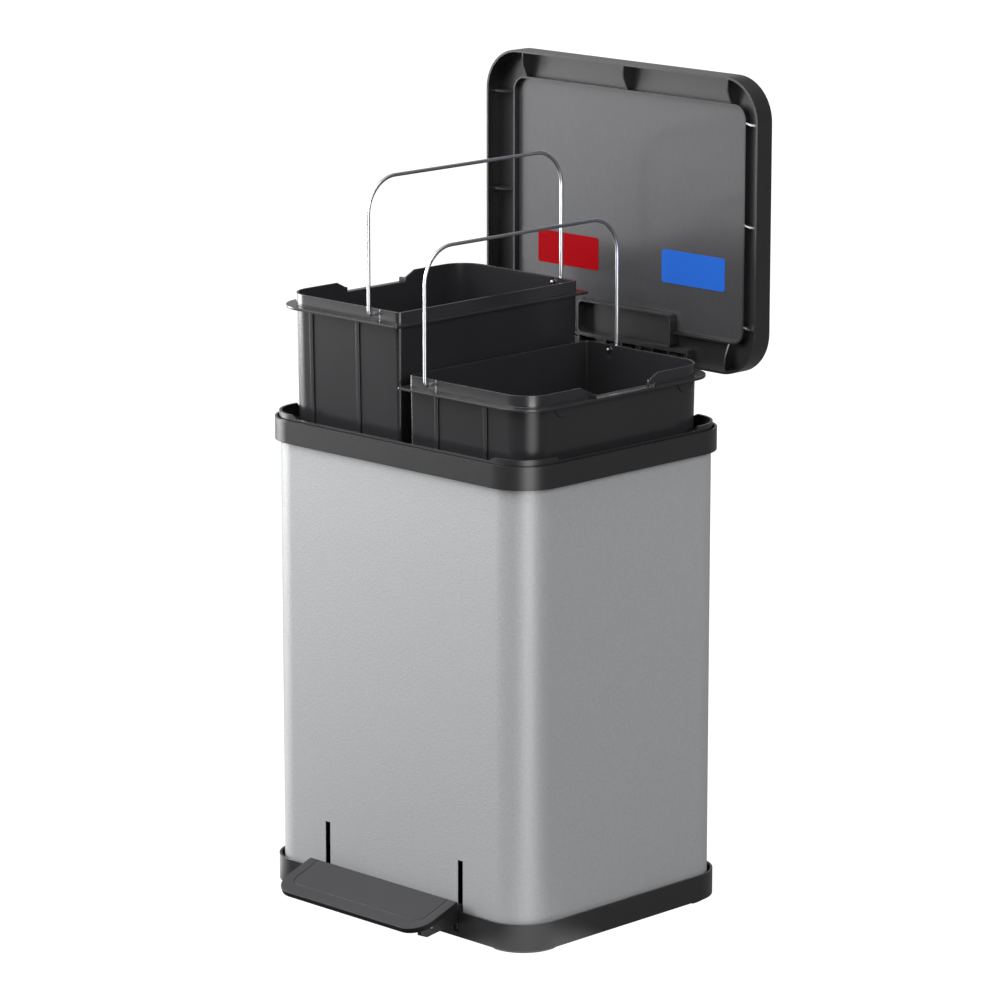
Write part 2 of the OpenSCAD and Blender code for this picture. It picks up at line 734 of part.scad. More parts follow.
module push_rod() color("#b0b4ba") {
    translate([0, rod_y, lever_pin_z + eye_stem])
        cylinder(h = eye_low - eye_neck / 2 - lever_pin_z - eye_stem, d = rod_d);
    plate_x(-eye_t / 2, eye_t / 2) difference() {
        union() {
            translate([rod_y, lever_pin_z]) circle(low_eye_r);
            translate([rod_y - rod_d / 2, lever_pin_z]) square([rod_d, eye_stem + eye_neck / 2]);
        }
        for (s = [-1, 1]) translate([rod_y + s * low_eye_play, lever_pin_z])
            circle(d = lever_pin_d + 2 * low_eye_fit);
        translate([rod_y, lever_pin_z])
            square([2 * low_eye_play, lever_pin_d + 2 * low_eye_fit], center = true);
    }
    plate_x(-eye_t / 2, eye_t / 2) difference() {
        polygon([
            [rod_y - rod_d / 2, eye_low - eye_neck],
            [rod_y + rod_d / 2, eye_low - eye_neck],
            [rod_y + eye_half + eye_wall, eye_low - eye_wall],
            [rod_y + eye_half + eye_wall, eye_high],
            [rod_y + eye_half, eye_high + eye_wall],
            [rod_y - eye_half, eye_high + eye_wall],
            [rod_y - eye_half - eye_wall, eye_high],
            [rod_y - eye_half - eye_wall, eye_low - eye_wall]]);
        translate([rod_y - eye_half, eye_low]) square([2 * eye_half, eye_high - eye_low]);
    }
}

module lid_shell() color("#3a3a3a") difference() {
    union() {
        lid_slab(lid_floor, lid_depth) translate([0, lid_mid]) rounded(rim_w, rim_d, rim_r);
        lid_slab(0, lid_floor) translate([0, lid_mid]) wall_ring(rim_w, rim_d, rim_r, rim_wall);
        lid_slab(inner_edge, lid_floor) translate([0, lid_mid])
            wall_ring(panel_w, panel_d, inner_wall_r, inner_wall_t);
        for (x = [-rib_x, 0, rib_x]) edge_rib(x, 1);
        for (x = [-rib_x, rib_x]) edge_rib(x, -1);
        for (side = [0, 1], z = [-rib_side_up + rib_t, rib_side_mid, rib_side_up])
            mirror([side, 0, 0]) side_rib(z);
    }
    lid_slab(-cut, gap_edge)
        translate([-gap_half, lid_low - cut]) square([2 * gap_half, rim_wall + 2 * cut]);
    lid_slab(0, lid_floor)
        translate([-box_half - seat_gap, lid_low + channel_y - cut])
            square([2 * (box_half + seat_gap), box_top - channel_y + seat_gap + cut]);
    lid_screw_places(lid_floor) cylinder(h = 2 * screw_l_lid, d = screw_d + 2 * run_fit, center = true);
}

// Rib profile: along its length from the lid's outer edge, and behind the rim
module rib_profile(l) polygon([
    [rim_wall / 2, rib_edge], [rim_wall + rib_level, rib_edge],
    [l, inner_edge], [l + inner_wall_t / 2, lid_floor + cut], [rim_wall / 2, lid_floor + cut]]);

module side_rib(z) translate([rim_w / 2, lid_rim_y, lid_mid + z - rib_t / 2])
    mirror([1, 0, 0]) linear_extrude(rib_t) rib_profile(channel_x);

// Rib at the lid's far edge (end = 1) or at its hinge edge (end = -1)
module edge_rib(x, end) plate_x(x - rib_t / 2, x + rib_t / 2)
    translate([lid_rim_y, lid_mid + end * rim_d / 2])
        mirror([0, end > 0 ? 1 : 0]) mirror([1, -1]) rib_profile(channel_y);

module lid_panel() color("#7a7a7c") lid_slab(lid_floor - panel_t, lid_floor) difference() {
    translate([0, lid_mid]) rounded(panel_w - 2 * (inner_wall_t + seat_gap),
        panel_d - 2 * (inner_wall_t + seat_gap), inner_wall_r - inner_wall_t - seat_gap);
    translate([-box_half - seat_gap, lid_low])
        square([2 * (box_half + seat_gap), box_top + seat_gap]);
}

module label_strip() color("#9c9c9e") lid_slab(lid_floor - panel_t - strip_t, lid_floor - panel_t)
    translate([0, lid_low + label_up + label_h / 2])
        square([panel_w - 2 * (inner_wall_t + strip_margin), label_h], center = true);

module label_at(x) lid_slab(lid_floor - panel_t - strip_t - label_t, lid_floor - panel_t - strip_t)
    translate([x, lid_low + label_up + label_h / 2]) rounded(label_w, label_h, label_r);

module label_red() color("#a3000d") label_at(-label_x);
module label_blue() color("#2e6bd3") label_at(label_x);

// Length of a lid screw below its head
lid_bite_share = 0.75;
screw_l_lid = box_floor_t + lid_bite_share * lid_top_t;

module lid_screw_places(depth) for (side = [-1, 1], x = lid_screw_xs)
    translate([side * x, lid_rim_y + depth, lid_low + (rim_wall + seat_gap + shelf_top - shelf_lip) / 2])
        rotate([90, 0, 0]) children();

module lid_hinge_block() color("#333335") difference() {
    union() {
        // Box with its open face to the front
        difference() {
            lid_slab(box_edge, lid_floor) translate([0, lid_low + (box_low + box_top) / 2])
                rounded(2 * box_half, box_top - box_low, box_r);
            lid_slab(box_edge - cut, lid_floor - box_floor_t)
                translate([0, lid_low + (shelf_top + box_top - box_wall) / 2])
                    rounded(2 * (box_half - box_wall), box_top - shelf_top - box_wall,
                        box_r - box_wall);
        }
        // Ledge with a row of pigeon holes
        difference() {
            lid_slab(box_edge, lid_floor)
                translate([-shelf_half, lid_low + rim_wall + seat_gap])
                    square([2 * shelf_half, shelf_top - rim_wall - seat_gap]);
            lid_slab(box_edge - cut, lid_floor - box_floor_t)
                translate([-shelf_half + box_wall, lid_low + rim_wall + seat_gap - cut])
                    square([2 * (shelf_half - box_wall),
                        shelf_top - shelf_lip - rim_wall - seat_gap + cut]);
        }
        for (s = shelf_shares)
            lid_slab(box_edge, lid_floor)
                translate([s * shelf_half - box_wall / 2, lid_low + rim_wall + seat_gap])
                    square([box_wall, shelf_top - shelf_lip / 2 - rim_wall - seat_gap]);
        for (side = [-1, 1]) lid_arm(side * lid_arm_x);
        crank();
    }
    pin_x(-bracket_half, bracket_half, hinge_y, hinge_z, hinge_pin_d + 2 * run_fit);
    pin_x(-crank_half - cut, crank_half + cut, crank_pin_y, crank_pin_z, crank_pin_d + 2 * run_fit);
    lid_screw_places(lid_floor) cylinder(h = 2 * box_floor_t + cut, d = screw_d + 2 * run_fit, center = true);
}

// Root of the arms and of the crank: it steps back into the ledge and ends behind its lip
module root_outline() polygon([
    [hinge_y - lid_arm_front, lid_low - crank_neck],
    [lid_rim_y + box_edge + root_in, lid_low + rim_wall + seat_gap],
    [lid_rim_y + box_edge + root_in, lid_low + root_h],
    [lid_rim_y + lid_floor - box_floor_t / 2, lid_low + root_h],
    [lid_rim_y + lid_floor - box_floor_t / 2, lid_low + rim_wall + seat_gap],
    [hinge_y + lid_arm_back, lid_low + rim_wall + seat_gap],
    [hinge_y + lid_arm_back, lid_low - crank_neck]]);

// Arm from the ledge down to the hinge pin, with the heel that meets the bracket's stop
module lid_arm(x) plate_x(x - lid_arm_w / 2, x + lid_arm_w / 2) {
    translate([hinge_y - lid_arm_front, hinge_z])
        square([lid_arm_front + lid_arm_back, hinge_out - crank_neck]);
    root_outline();
    translate([hinge_y, hinge_z]) circle(arm_eye_r);
    translate([hinge_y, hinge_z - heel_z]) square([heel_y, heel_z + arm_eye_r]);
}

crank_half = fork_half + cheek_t;

// Two cheeks round the rod's slotted eye
module crank() difference() {
    plate_x(-crank_half, crank_half) {
        polygon([
            [hinge_y - lid_arm_front, lid_low - crank_neck],
            [crank_pin_y - crank_eye_r * cos(crank_a), crank_pin_z + crank_eye_r * sin(crank_a)],
            [crank_pin_y + crank_eye_r * cos(crank_a), crank_pin_z - crank_eye_r * sin(crank_a)],
            [hinge_y + lid_arm_back, lid_low - crank_neck]]);
        root_outline();
        translate([crank_pin_y, crank_pin_z]) circle(crank_eye_r);
    }
    translate([-fork_half, crank_pin_y - fork_l, crank_pin_z - fork_l])
        cube([2 * fork_half, hinge_y - fork_y - crank_pin_y + fork_l, lid_low + box_top]);
}
crank_neck = 4;

module lid_screws() color("#8a8c90") lid_screw_places(lid_floor - box_floor_t)
    screw(screw_d, screw_l_lid, screw_head_r, screw_head_h);

module crank_pin() color("#b8bcc2")
    pin_x(-crank_half - side_gap, crank_half + side_gap, crank_pin_y, crank_pin_z, crank_pin_d);

// One corner's arc, and the closed outline of a bucket's wall drawn in by an inset
function corner(cx, cy, r, a) = [for (i = [0:arc_steps])
    [cx + r * cos(a + 90 * i / arc_steps), cy + r * sin(a + 90 * i / arc_steps)]];
function wall_outline(inset) = let (
    w = bucket_w / 2 - inset,
    d = bucket_d / 2 - inset,
    ro = max(bucket_r_outer - inset, least_r),
    ri = max(bucket_r_inner - inset, least_r))
    concat(corner(w - ro, d - ro, ro, 0), corner(ri - w, d - ri, ri, 90),
        corner(ri - w, ri - d, ri, 180), corner(w - ro, ro - d, ro, 270));

// Drafted solid through levels of [height, inset], lowest first
module wall_loft(levels) {
    n = 4 * (arc_steps + 1);
    top = len(levels) - 1;
    polyhedron(
        points = [for (level = levels, p = wall_outline(level[1])) [p[0], p[1], level[0]]],
        faces = concat(
            [[for (i = [0:n - 1]) i]],
            [[for (i = [0:n - 1]) top * n + n - 1 - i]],
            [for (k = [0:top - 1], i = [0:n - 1]) let (j = (i + 1) % n)
                [k * n + i, (k + 1) * n + i, (k + 1) * n + j]],
            [for (k = [0:top - 1], i = [0:n - 1]) let (j = (i + 1) % n)
                [k * n + i, (k + 1) * n + j, k * n + j]]));
}

// Levels of a wall: a quarter round at its bottom, then straight draft up to a top height
function wall_levels(low, high, inset, r) = concat(
    [for (i = [0:fillet_steps]) let (a = 90 * i / fillet_steps)
        [low + r * (1 - cos(a)), inset + (0 - low) * tan(draft) + r * (1 - sin(a))]],
    [[high, inset - high * tan(draft)]]);

// Bucket in its own frame: the flange's underside at z = 0, the casing's side towards +x
module bucket() color("#333335") difference() {
    union() {
        wall_loft(wall_levels(-bucket_h, flange_t / 2, wall_step, bottom_r));
        linear_extrude(flange_t) translate([(flange_outer - flange_inner) / 2, 0])
            bucket_plan(bucket_w + flange_outer + flange_inner, bucket_d + 2 * flange_ends,
                flange_r_outer, flange_r_inner);
        linear_extrude(bucket_top) bucket_plan(bucket_w, bucket_d, bucket_r_outer, bucket_r_inner);
        for (half = [0, 1]) rotate(180 * half) for (x = bucket_rib_xs) bucket_wall_rib(x);
        for (y = pad_ys) bucket_pad(y);
        for (side = [0, 1]) mirror([0, side, 0])
            translate([bucket_w / 2 - bucket_wall / 2, tab_in, flange_t / 2])
                cube([bucket_wall / 2 + tab_out, tab_w, bucket_top - tab_drop - flange_t / 2]);
    }
    wall_loft(wall_levels(bucket_wall - bucket_h, flange_t + cut, wall_step + bucket_wall,
        bottom_r - bucket_wall));
    translate([0, 0, flange_t]) linear_extrude(bucket_top)
        bucket_plan(bucket_w - 2 * bucket_wall, bucket_d - 2 * bucket_wall,
            bucket_r_outer - bucket_wall, bucket_r_inner - bucket_wall);
    scoop();
    translate([journal_x, 0, bucket_top - journal_drop]) rotate([90, 0, 0])
        cylinder(h = bucket_d + 2 * cut, d = wire_d + 2 * run_fit, center = true);
    for (half = [0, 1]) rotate(180 * half) journal_pocket(half == 0 ? journal_x : -journal_x);
}

// Cut-out of the outer collar between the tabs
module scoop() translate([bucket_w / 2 - bucket_wall - cut, 0, 0])
    rotate([90, 0, 90]) linear_extrude(bucket_wall + 2 * cut) {
        polygon([[-scoop_half - cut, bucket_top + cut], [-scoop_half, bucket_top],
            [-scoop_low_half, bucket_top - scoop_drop], [scoop_low_half, bucket_top - scoop_drop],
            [scoop_half, bucket_top], [scoop_half + cut, bucket_top + cut]]);
        translate([-tab_in, flange_t]) square([2 * tab_in, bucket_top - flange_t - scoop_drop + cut]);
    }

// Pocket behind one journal and the shallow dish beside it, on the -y collar
module journal_pocket(x) {
    translate([x - pocket_w / 2, -bucket_d / 2 + bucket_wall - pocket_t,
        bucket_top - pocket_up - pocket_h])
        cube([pocket_w, pocket_t + cut, pocket_h]);
    translate([x - dish_w, -bucket_d / 2 - cut, flange_t])
        cube([dish_w - wire_d / 2, dish_t + cut, bucket_top - flange_t - pocket_up]);
}

// Upright rib on the drafted end wall
module bucket_wall_rib(x) plate_x(x - bucket_rib / 2, x + bucket_rib / 2) polygon([
    [-bucket_d / 2 + wall_step + bucket_wall / 2, cut],
    [-bucket_d / 2 + wall_step - bucket_rib_out, cut],
    [-bucket_d / 2 + wall_step - bucket_rib_out, 0],
    [-bucket_d / 2 + wall_step - bucket_rib_out + (bucket_h - bucket_rib_end) * tan(draft),
        bucket_rib_end - bucket_h],
    [-bucket_d / 2 + wall_step + bucket_wall / 2 + (bucket_h - bucket_rib_end) * tan(draft),
        bucket_rib_end - bucket_h]]);

// Half round pad under the flange on the outer wall
module bucket_pad(y) intersection() {
    translate([bucket_w / 2 - bucket_wall / 2, y, -pad_drop]) rotate([0, 90, 0])
        cylinder(h = pad_out + bucket_wall / 2 - wall_step, r = pad_r);
    translate([0, y - 2 * pad_r, -2 * pad_r]) cube([bucket_w, 4 * pad_r, 2 * pad_r + cut]);
}

module bucket_right() translate([bucket_x, 0, ledge_top + right_up]) bucket();
module bucket_left() translate([-bucket_x, 0, ledge_top + left_up]) rotate(180) bucket();

// Bail in its own frame: journals along Y through the origin, grip straight above
module bail() color("#c8cacf") {
    leg_y = bucket_d / 2 + leg_out;
    for (side = [0, 1]) mirror([0, side, 0]) {
        translate([0, leg_y, journal_r]) cylinder(h = bail_h - bail_r - journal_r, d = wire_d);
        translate([0, leg_y - bail_r, bail_h - bail_r]) rotate([90, 0, 90])
            rotate_extrude(angle = 90) translate([bail_r, 0]) circle(d = wire_d);
        translate([0, leg_y - journal_r, journal_r]) rotate([0, 90, 0])
            rotate_extrude(angle = 90) translate([journal_r, 0]) circle(d = wire_d);
        translate([0, leg_y - journal_r, 0]) rotate([90, 0, 0])
            cylinder(h = leg_out - journal_r + bucket_wall + journal_end, d = wire_d);
    }
    translate([0, 0, bail_h]) rotate([90, 0, 0])
        cylinder(h = 2 * (leg_y - bail_r), d = wire_d, center = true);
}

bail_x = bucket_x + journal_x;
bail_z = ledge_top + bucket_top - journal_drop;

module bail_right() translate([bail_x, 0, bail_z + right_up]) bail();
module bail_left() translate([-bail_x, 0, bail_z + left_up]) bail();

placed() body_shell();
placed() base_tray();
placed() corner_feet();
placed() base_screws();
placed() top_frame();
placed() hinge_bracket();
placed() bracket_screws();
placed() hinge_pin();
placed() hinge_pin_caps();
placed() rod_guide_upper();
placed() rod_guide_lower();
placed() rod_guide_screws();
placed() pedal_axle();
placed() axle_clips();
placed() pedal_tread();
placed() pedal_arm_left();
placed() pedal_arm_right();
placed() pedal_crossbar();
placed() pedal_tongue();
placed() tread_screws();
placed() lever_pin();
placed() push_rod();
placed() lid_shell();
placed() lid_panel();
placed() label_strip();
placed() label_red();
placed() label_blue();
placed() lid_hinge_block();
placed() lid_screws();
placed() crank_pin();
placed() bucket_left();
placed() bucket_right();
placed() bail_left();
placed() bail_right();
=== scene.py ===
import json
import math

import bmesh
import bpy
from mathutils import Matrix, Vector

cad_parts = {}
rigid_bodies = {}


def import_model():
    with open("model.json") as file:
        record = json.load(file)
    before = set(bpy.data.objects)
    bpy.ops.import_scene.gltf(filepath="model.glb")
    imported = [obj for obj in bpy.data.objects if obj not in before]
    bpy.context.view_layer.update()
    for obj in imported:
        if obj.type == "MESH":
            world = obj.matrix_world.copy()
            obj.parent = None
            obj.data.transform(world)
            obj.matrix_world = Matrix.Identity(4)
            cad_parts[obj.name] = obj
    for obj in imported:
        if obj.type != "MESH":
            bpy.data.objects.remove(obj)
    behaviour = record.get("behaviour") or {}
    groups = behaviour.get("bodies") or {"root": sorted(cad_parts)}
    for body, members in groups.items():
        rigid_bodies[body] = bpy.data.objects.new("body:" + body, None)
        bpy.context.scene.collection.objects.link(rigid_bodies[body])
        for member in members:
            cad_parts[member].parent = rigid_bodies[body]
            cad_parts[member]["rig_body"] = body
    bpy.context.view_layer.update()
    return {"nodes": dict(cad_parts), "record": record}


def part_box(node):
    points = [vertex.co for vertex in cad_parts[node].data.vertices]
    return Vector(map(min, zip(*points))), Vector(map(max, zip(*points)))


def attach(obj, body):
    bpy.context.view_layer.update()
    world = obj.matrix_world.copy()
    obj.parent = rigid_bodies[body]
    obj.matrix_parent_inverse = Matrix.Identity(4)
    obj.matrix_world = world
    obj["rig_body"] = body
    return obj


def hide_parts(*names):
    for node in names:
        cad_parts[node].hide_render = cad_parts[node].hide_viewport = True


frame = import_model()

mm = 0.001  # the frame is in metres, the sizes below are in millimetres
nodeSlots = {row["node"]: row["material_slot"] for row in frame["record"]["subparts"]}


def say(text):
    print("[bin]", text)


def boxInMm(node):
    low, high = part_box(node)
    return low / mm, high / mm


# Camera: a long lens, fitted to the photographed edges on a 1000 x 1000 frame
camera = {
    "yaw": 44.707,        # degrees round the bin, from straight in front
    "pitch": 12.849,      # degrees above level
    "distance": 5042.69,  # mm from the casing's middle on the floor
    "right": 5.423,       # mm the view is slid to the right
    "up": 412.072,        # mm the view is slid up
    "lens": 170.61,       # mm
    "sensor": 36,         # mm
    "reach": 50,          # m that it sees
}


def makeCamera():
    yaw = math.radians(camera["yaw"])
    pitch = math.radians(camera["pitch"])
    back = Vector((math.sin(yaw) * math.cos(pitch), -math.cos(yaw) * math.cos(pitch), math.sin(pitch)))
    right = Vector((math.cos(yaw), math.sin(yaw), 0))
    up = back.cross(right)
    low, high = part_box("body_shell")
    casingMiddle = (low + high) / 2
    origin = Vector((casingMiddle.x, casingMiddle.y, 0))
    lens = bpy.data.cameras.new("photoLens")
    lens.lens = camera["lens"]
    lens.sensor_width = camera["sensor"]
    lens.clip_end = camera["reach"]
    view = bpy.data.objects.new("photoCamera", lens)
    view.location = origin + (back * camera["distance"] + right * camera["right"] + up * camera["up"]) * mm
    view.rotation_euler = (math.radians(90) - pitch, 0, yaw)
    bpy.context.scene.collection.objects.link(view)
    bpy.context.scene.camera = view


makeCamera()
say("camera placed")


def hexColor(text):
    # sRGB hex to a linear colour
    channels = [int(text[i:i + 2], 16) / 255 for i in (1, 3, 5)]
    return (*[c / 12.92 if c <= 0.04045 else ((c + 0.055) / 1.055) ** 2.4 for c in channels], 1)


def scaledColor(color, share):
    return (*[c * share for c in color[:3]], 1)


def perMm(size):
    # texture scale for a feature of this many mm, with coordinates in metres
    return 1 / (size * mm)


def addNode(tree, kind, inputs=None, **settings):
    # adds one node, sets its properties, then fills or links its sockets
    node = tree.nodes.new(kind)
    for key, value in settings.items():
        setattr(node, key, value)
    for key, value in (inputs or {}).items():
        if isinstance(value, bpy.types.NodeSocket):
            tree.links.new(value, node.inputs[key])
        else:
            node.inputs[key].default_value = value
    return node


# Where a Mix node that blends colours keeps its sockets
mixFactor, mixFirst, mixSecond, mixResult = 0, 6, 7, 2
noiseLow, noiseHigh = 0.3, 0.7  # most of a noise texture's values lie between these


def startMaterial(name):
    material = bpy.data.materials.new(name)
    material.use_nodes = True
    material.node_tree.nodes.clear()
    place = addNode(material.node_tree, "ShaderNodeTexCoord").outputs["Object"]
    return material, material.node_tree, place


def finishMaterial(tree, shader):
    addNode(tree, "ShaderNodeOutputMaterial", {"Surface": shader.outputs[0]})


# Injection-moulded plastic: the mould's spark-eroded skin leaves a fine grain, which spreads
# the highlight softly, and slow flow marks, which cloud the black a little
plastic = {
    "grain": 0.55,              # mm, drawn coarser than the real grain, so that it shows
    "grainDepth": 0.03,         # mm
    "grainStrength": 0.5,
    "cloud": 90,                # mm from one flow mark to the next
    "cloudShare": 0.12,         # how much darker or lighter a flow mark is
    "polishSpread": [-0.05, 0.07],
    "facing": [0.55, 0.8],      # upward share of the normal, from a steep face in painted shade to a top in its full colour
    "ior": 1.5,
}


def mouldedPlastic(name, color, roughness, shine=0.5, paintedShadeColor=None):
    material, tree, place = startMaterial(name)
    grain = addNode(tree, "ShaderNodeTexNoise", {
        "Vector": place, "Scale": perMm(plastic["grain"]), "Detail": 3.0, "Roughness": 0.6})
    cloud = addNode(tree, "ShaderNodeTexNoise", {
        "Vector": place, "Scale": perMm(plastic["cloud"]), "Detail": 2.0})
    base = hexColor(color)
    tone = addNode(tree, "ShaderNodeMix", {
        mixFactor: cloud.outputs["Fac"],
        mixFirst: scaledColor(base, 1 - plastic["cloudShare"]),
        mixSecond: scaledColor(base, 1 + plastic["cloudShare"])}, data_type="RGBA").outputs[mixResult]
    # painted shade: faces that turn from upward to steep take a darker colour, as if shade fell on them
    if paintedShadeColor:
        normal = addNode(tree, "ShaderNodeNewGeometry").outputs["Normal"]
        facing = addNode(tree, "ShaderNodeSeparateXYZ", {"Vector": normal})
        upward = addNode(tree, "ShaderNodeMapRange", {
            "Value": facing.outputs["Z"],
            "From Min": plastic["facing"][0], "From Max": plastic["facing"][1]})
        tone = addNode(tree, "ShaderNodeMix", {
            mixFactor: upward.outputs["Result"], mixFirst: hexColor(paintedShadeColor), mixSecond: tone},
            data_type="RGBA").outputs[mixResult]
    polish = addNode(tree, "ShaderNodeMapRange", {
        "Value": grain.outputs["Fac"],
        "To Min": roughness + plastic["polishSpread"][0],
        "To Max": roughness + plastic["polishSpread"][1]})
    bump = addNode(tree, "ShaderNodeBump", {
        "Height": grain.outputs["Fac"], "Strength": plastic["grainStrength"],
        "Distance": plastic["grainDepth"] * mm})
    finishMaterial(tree, addNode(tree, "ShaderNodeBsdfPrincipled", {
        "Base Color": tone, "Roughness": polish.outputs["Result"], "Normal": bump.outputs["Normal"],
        "IOR": plastic["ior"], "Specular IOR Level": shine}))
    return material


# Ground, drawn or rolled steel: fine tool marks vary the gloss along the surface
steel = {
    "marks": 0.3,               # mm from one tool mark to the next
    "polishSpread": [-0.06, 0.1],
}


def plainSteel(name, color, roughness):
    material, tree, place = startMaterial(name)
    marks = addNode(tree, "ShaderNodeTexNoise", {
        "Vector": place, "Scale": perMm(steel["marks"]), "Detail": 2.0})
    polish = addNode(tree, "ShaderNodeMapRange", {
        "Value": marks.outputs["Fac"],
        "To Min": roughness + steel["polishSpread"][0],
        "To Max": roughness + steel["polishSpread"][1]})
    finishMaterial(tree, addNode(tree, "ShaderNodeBsdfPrincipled", {
        "Base Color": hexColor(color), "Metallic": 1.0, "Roughness": polish.outputs["Result"]}))
    return material


# Stoved hammer paint with metal flake: it draws together into shallow dimples as it dries,
# which break up the highlight at the rounded corners, and the flakes sparkle faintly
hammerPaint = {
    "dimple": 2.1,              # mm across, drawn coarser than the real ones, so that they show
    "dimpleDepth": 0.32,        # mm
    "dimpleStrength": 0.8,
    "flake": 2.2,               # mm across a group of flakes
    "flakeShare": 0.06,         # how much darker or lighter a group is
    "roughness": 0.43,
    "metallic": 0.15,
}


def hammeredPaint(name, color):
    material, tree, place = startMaterial(name)
    dimples = addNode(tree, "ShaderNodeTexNoise", {
        "Vector": place, "Scale": perMm(hammerPaint["dimple"]), "Detail": 2.5, "Roughness": 0.55})
    flakes = addNode(tree, "ShaderNodeTexNoise", {
        "Vector": place, "Scale": perMm(hammerPaint["flake"]), "Detail": 2.0})
    tone = addNode(tree, "ShaderNodeMapRange", {
        "Value": flakes.outputs["Fac"], "From Min": noiseLow, "From Max": noiseHigh,
        "To Min": 1 - hammerPaint["flakeShare"], "To Max": 1 + hammerPaint["flakeShare"]})
    shaded = addNode(tree, "ShaderNodeVectorMath", {
        0: hexColor(color)[:3], "Scale": tone.outputs["Result"]}, operation="SCALE")
    bump = addNode(tree, "ShaderNodeBump", {
        "Height": dimples.outputs["Fac"], "Strength": hammerPaint["dimpleStrength"],
        "Distance": hammerPaint["dimpleDepth"] * mm})
    finishMaterial(tree, addNode(tree, "ShaderNodeBsdfPrincipled", {
        "Base Color": shaded.outputs["Vector"], "Metallic": hammerPaint["metallic"],
        "Roughness": hammerPaint["roughness"], "Normal": bump.outputs["Normal"]}))
    return material


# Aluminium sheet, brushed upright and lacquered satin grey: a faint grain that runs up the panel
brushedCoat = {
    "grain": 1.4,               # mm between brush lines, drawn coarser than real, so that they show
    "stretch": 0.12,            # the lines are about eight times as long as they are wide
    "grainDepth": 0.03,         # mm
    "grainStrength": 0.04,
    "toneShare": 0.07,          # how much darker or lighter a line is
    "polishShare": 0.01,
    "metallic": 0.3,
}


def brushedSheet(name, color, roughness):
    material, tree, place = startMaterial(name)
    upright = addNode(tree, "ShaderNodeMapping", {"Vector": place, "Scale": (1, 1, brushedCoat["stretch"])})
    grain = addNode(tree, "ShaderNodeTexNoise", {
        "Vector": upright.outputs["Vector"], "Scale": perMm(brushedCoat["grain"]),
        "Detail": 3.0, "Roughness": 0.6})
    polish = addNode(tree, "ShaderNodeMapRange", {
        "Value": grain.outputs["Fac"], "From Min": noiseLow, "From Max": noiseHigh,
        "To Min": roughness - brushedCoat["polishShare"], "To Max": roughness + brushedCoat["polishShare"]})
    tone = addNode(tree, "ShaderNodeMapRange", {
        "Value": grain.outputs["Fac"], "From Min": noiseLow, "From Max": noiseHigh,
        "To Min": 1 - brushedCoat["toneShare"], "To Max": 1 + brushedCoat["toneShare"]})
    shaded = addNode(tree, "ShaderNodeVectorMath", {
        0: hexColor(color)[:3], "Scale": tone.outputs["Result"]}, operation="SCALE")
    bump = addNode(tree, "ShaderNodeBump", {
        "Height": grain.outputs["Fac"], "Strength": brushedCoat["grainStrength"],
        "Distance": brushedCoat["grainDepth"] * mm})
    finishMaterial(tree, addNode(tree, "ShaderNodeBsdfPrincipled", {
        "Base Color": shaded.outputs["Vector"], "Metallic": brushedCoat["metallic"],
        "Roughness": polish.outputs["Result"], "Normal": bump.outputs["Normal"]}))
    return material


# Cast vinyl film on a stiff plate: even colour, with the slow waves of its glue
vinyl = {
    "wave": 12,                 # mm from one wave to the next
    "waveDepth": 0.1,           # mm
    "waveStrength": 0.2,
    "roughness": 0.3,
    "shine": 0.03,
}


def vinylFilm(name, color):
    material, tree, place = startMaterial(name)
    waves = addNode(tree, "ShaderNodeTexNoise", {
        "Vector": place, "Scale": perMm(vinyl["wave"]), "Detail": 2.0})
    bump = addNode(tree, "ShaderNodeBump", {
        "Height": waves.outputs["Fac"], "Strength": vinyl["waveStrength"],
        "Distance": vinyl["waveDepth"] * mm})
    finishMaterial(tree, addNode(tree, "ShaderNodeBsdfPrincipled", {
        "Base Color": hexColor(color), "Roughness": vinyl["roughness"],
        "Specular IOR Level": vinyl["shine"], "Normal": bump.outputs["Normal"]}))
    return material


materials = {
    # stoved on the folded casing
    "sheet_paint": hammeredPaint("hammeredSilverPaint", "#A5A6A8"),
    # moulded in polished tools: satin black
    "frame_plastic": mouldedPlastic("satinBlackPolypropylene", "#242425", 0.28),
    # moulded in coarsely grained tools: matte black
    "foot_plastic": mouldedPlastic("matteBlackPolypropylene", "#1E1E1F", 0.55),
    # moulded matte for a shoe's grip: its top is dark grey, and its steep edges carry painted shade that
    # makes them nearly black
    "tread_plastic": mouldedPlastic("matteTreadPolypropylene", "#2F2F31", 0.55, 0.2, "#0A0A0B"),
    # moulded in the bin's smoothest tools, to wipe clean: long reflections in near black
    "bucket_plastic": mouldedPlastic("glossyBucketPolypropylene", "#28282A", 0.2, 0.42),
    # moulded like the frame, a little duller
    "block_plastic": mouldedPlastic("satinBlockPolypropylene", "#262627", 0.36),
    # the lid's panel: dark satin grey
    "panel_metal": brushedSheet("lacqueredAluminium", "#4C4C4E", 0.24),
    # clear film laid on the panel, which shows through it, a little glossier
    "strip_film": brushedSheet("clearFilmOnAluminium", "#4F4F51", 0.21),
    "red_label": vinylFilm("redVinylFilm", "#99000C"),
    "blue_label": vinylFilm("blueVinylFilm", "#2863C6"),
    # powder coat has the same grained dielectric skin as a moulding
    "lever_steel": mouldedPlastic("blackPowderCoatedSteel", "#0E0E0F", 0.42),
    # ground to size: a small sharp glint
    "pin_steel": plainSteel("groundSteel", "#B4B6BA", 0.25),
    # plated after the heads were formed: a softer grey shine
    "screw_steel": plainSteel("zincPlatedSteel", "#9A9CA0", 0.32),
    # drawn through a die, bent and plated: long bright highlights along the wire
    "wire_chrome": plainSteel("brightPlatedWire", "#BBBDC0", 0.32),
}
say("materials made")

standIns = set()  # nodes that a piece of this script stands in for


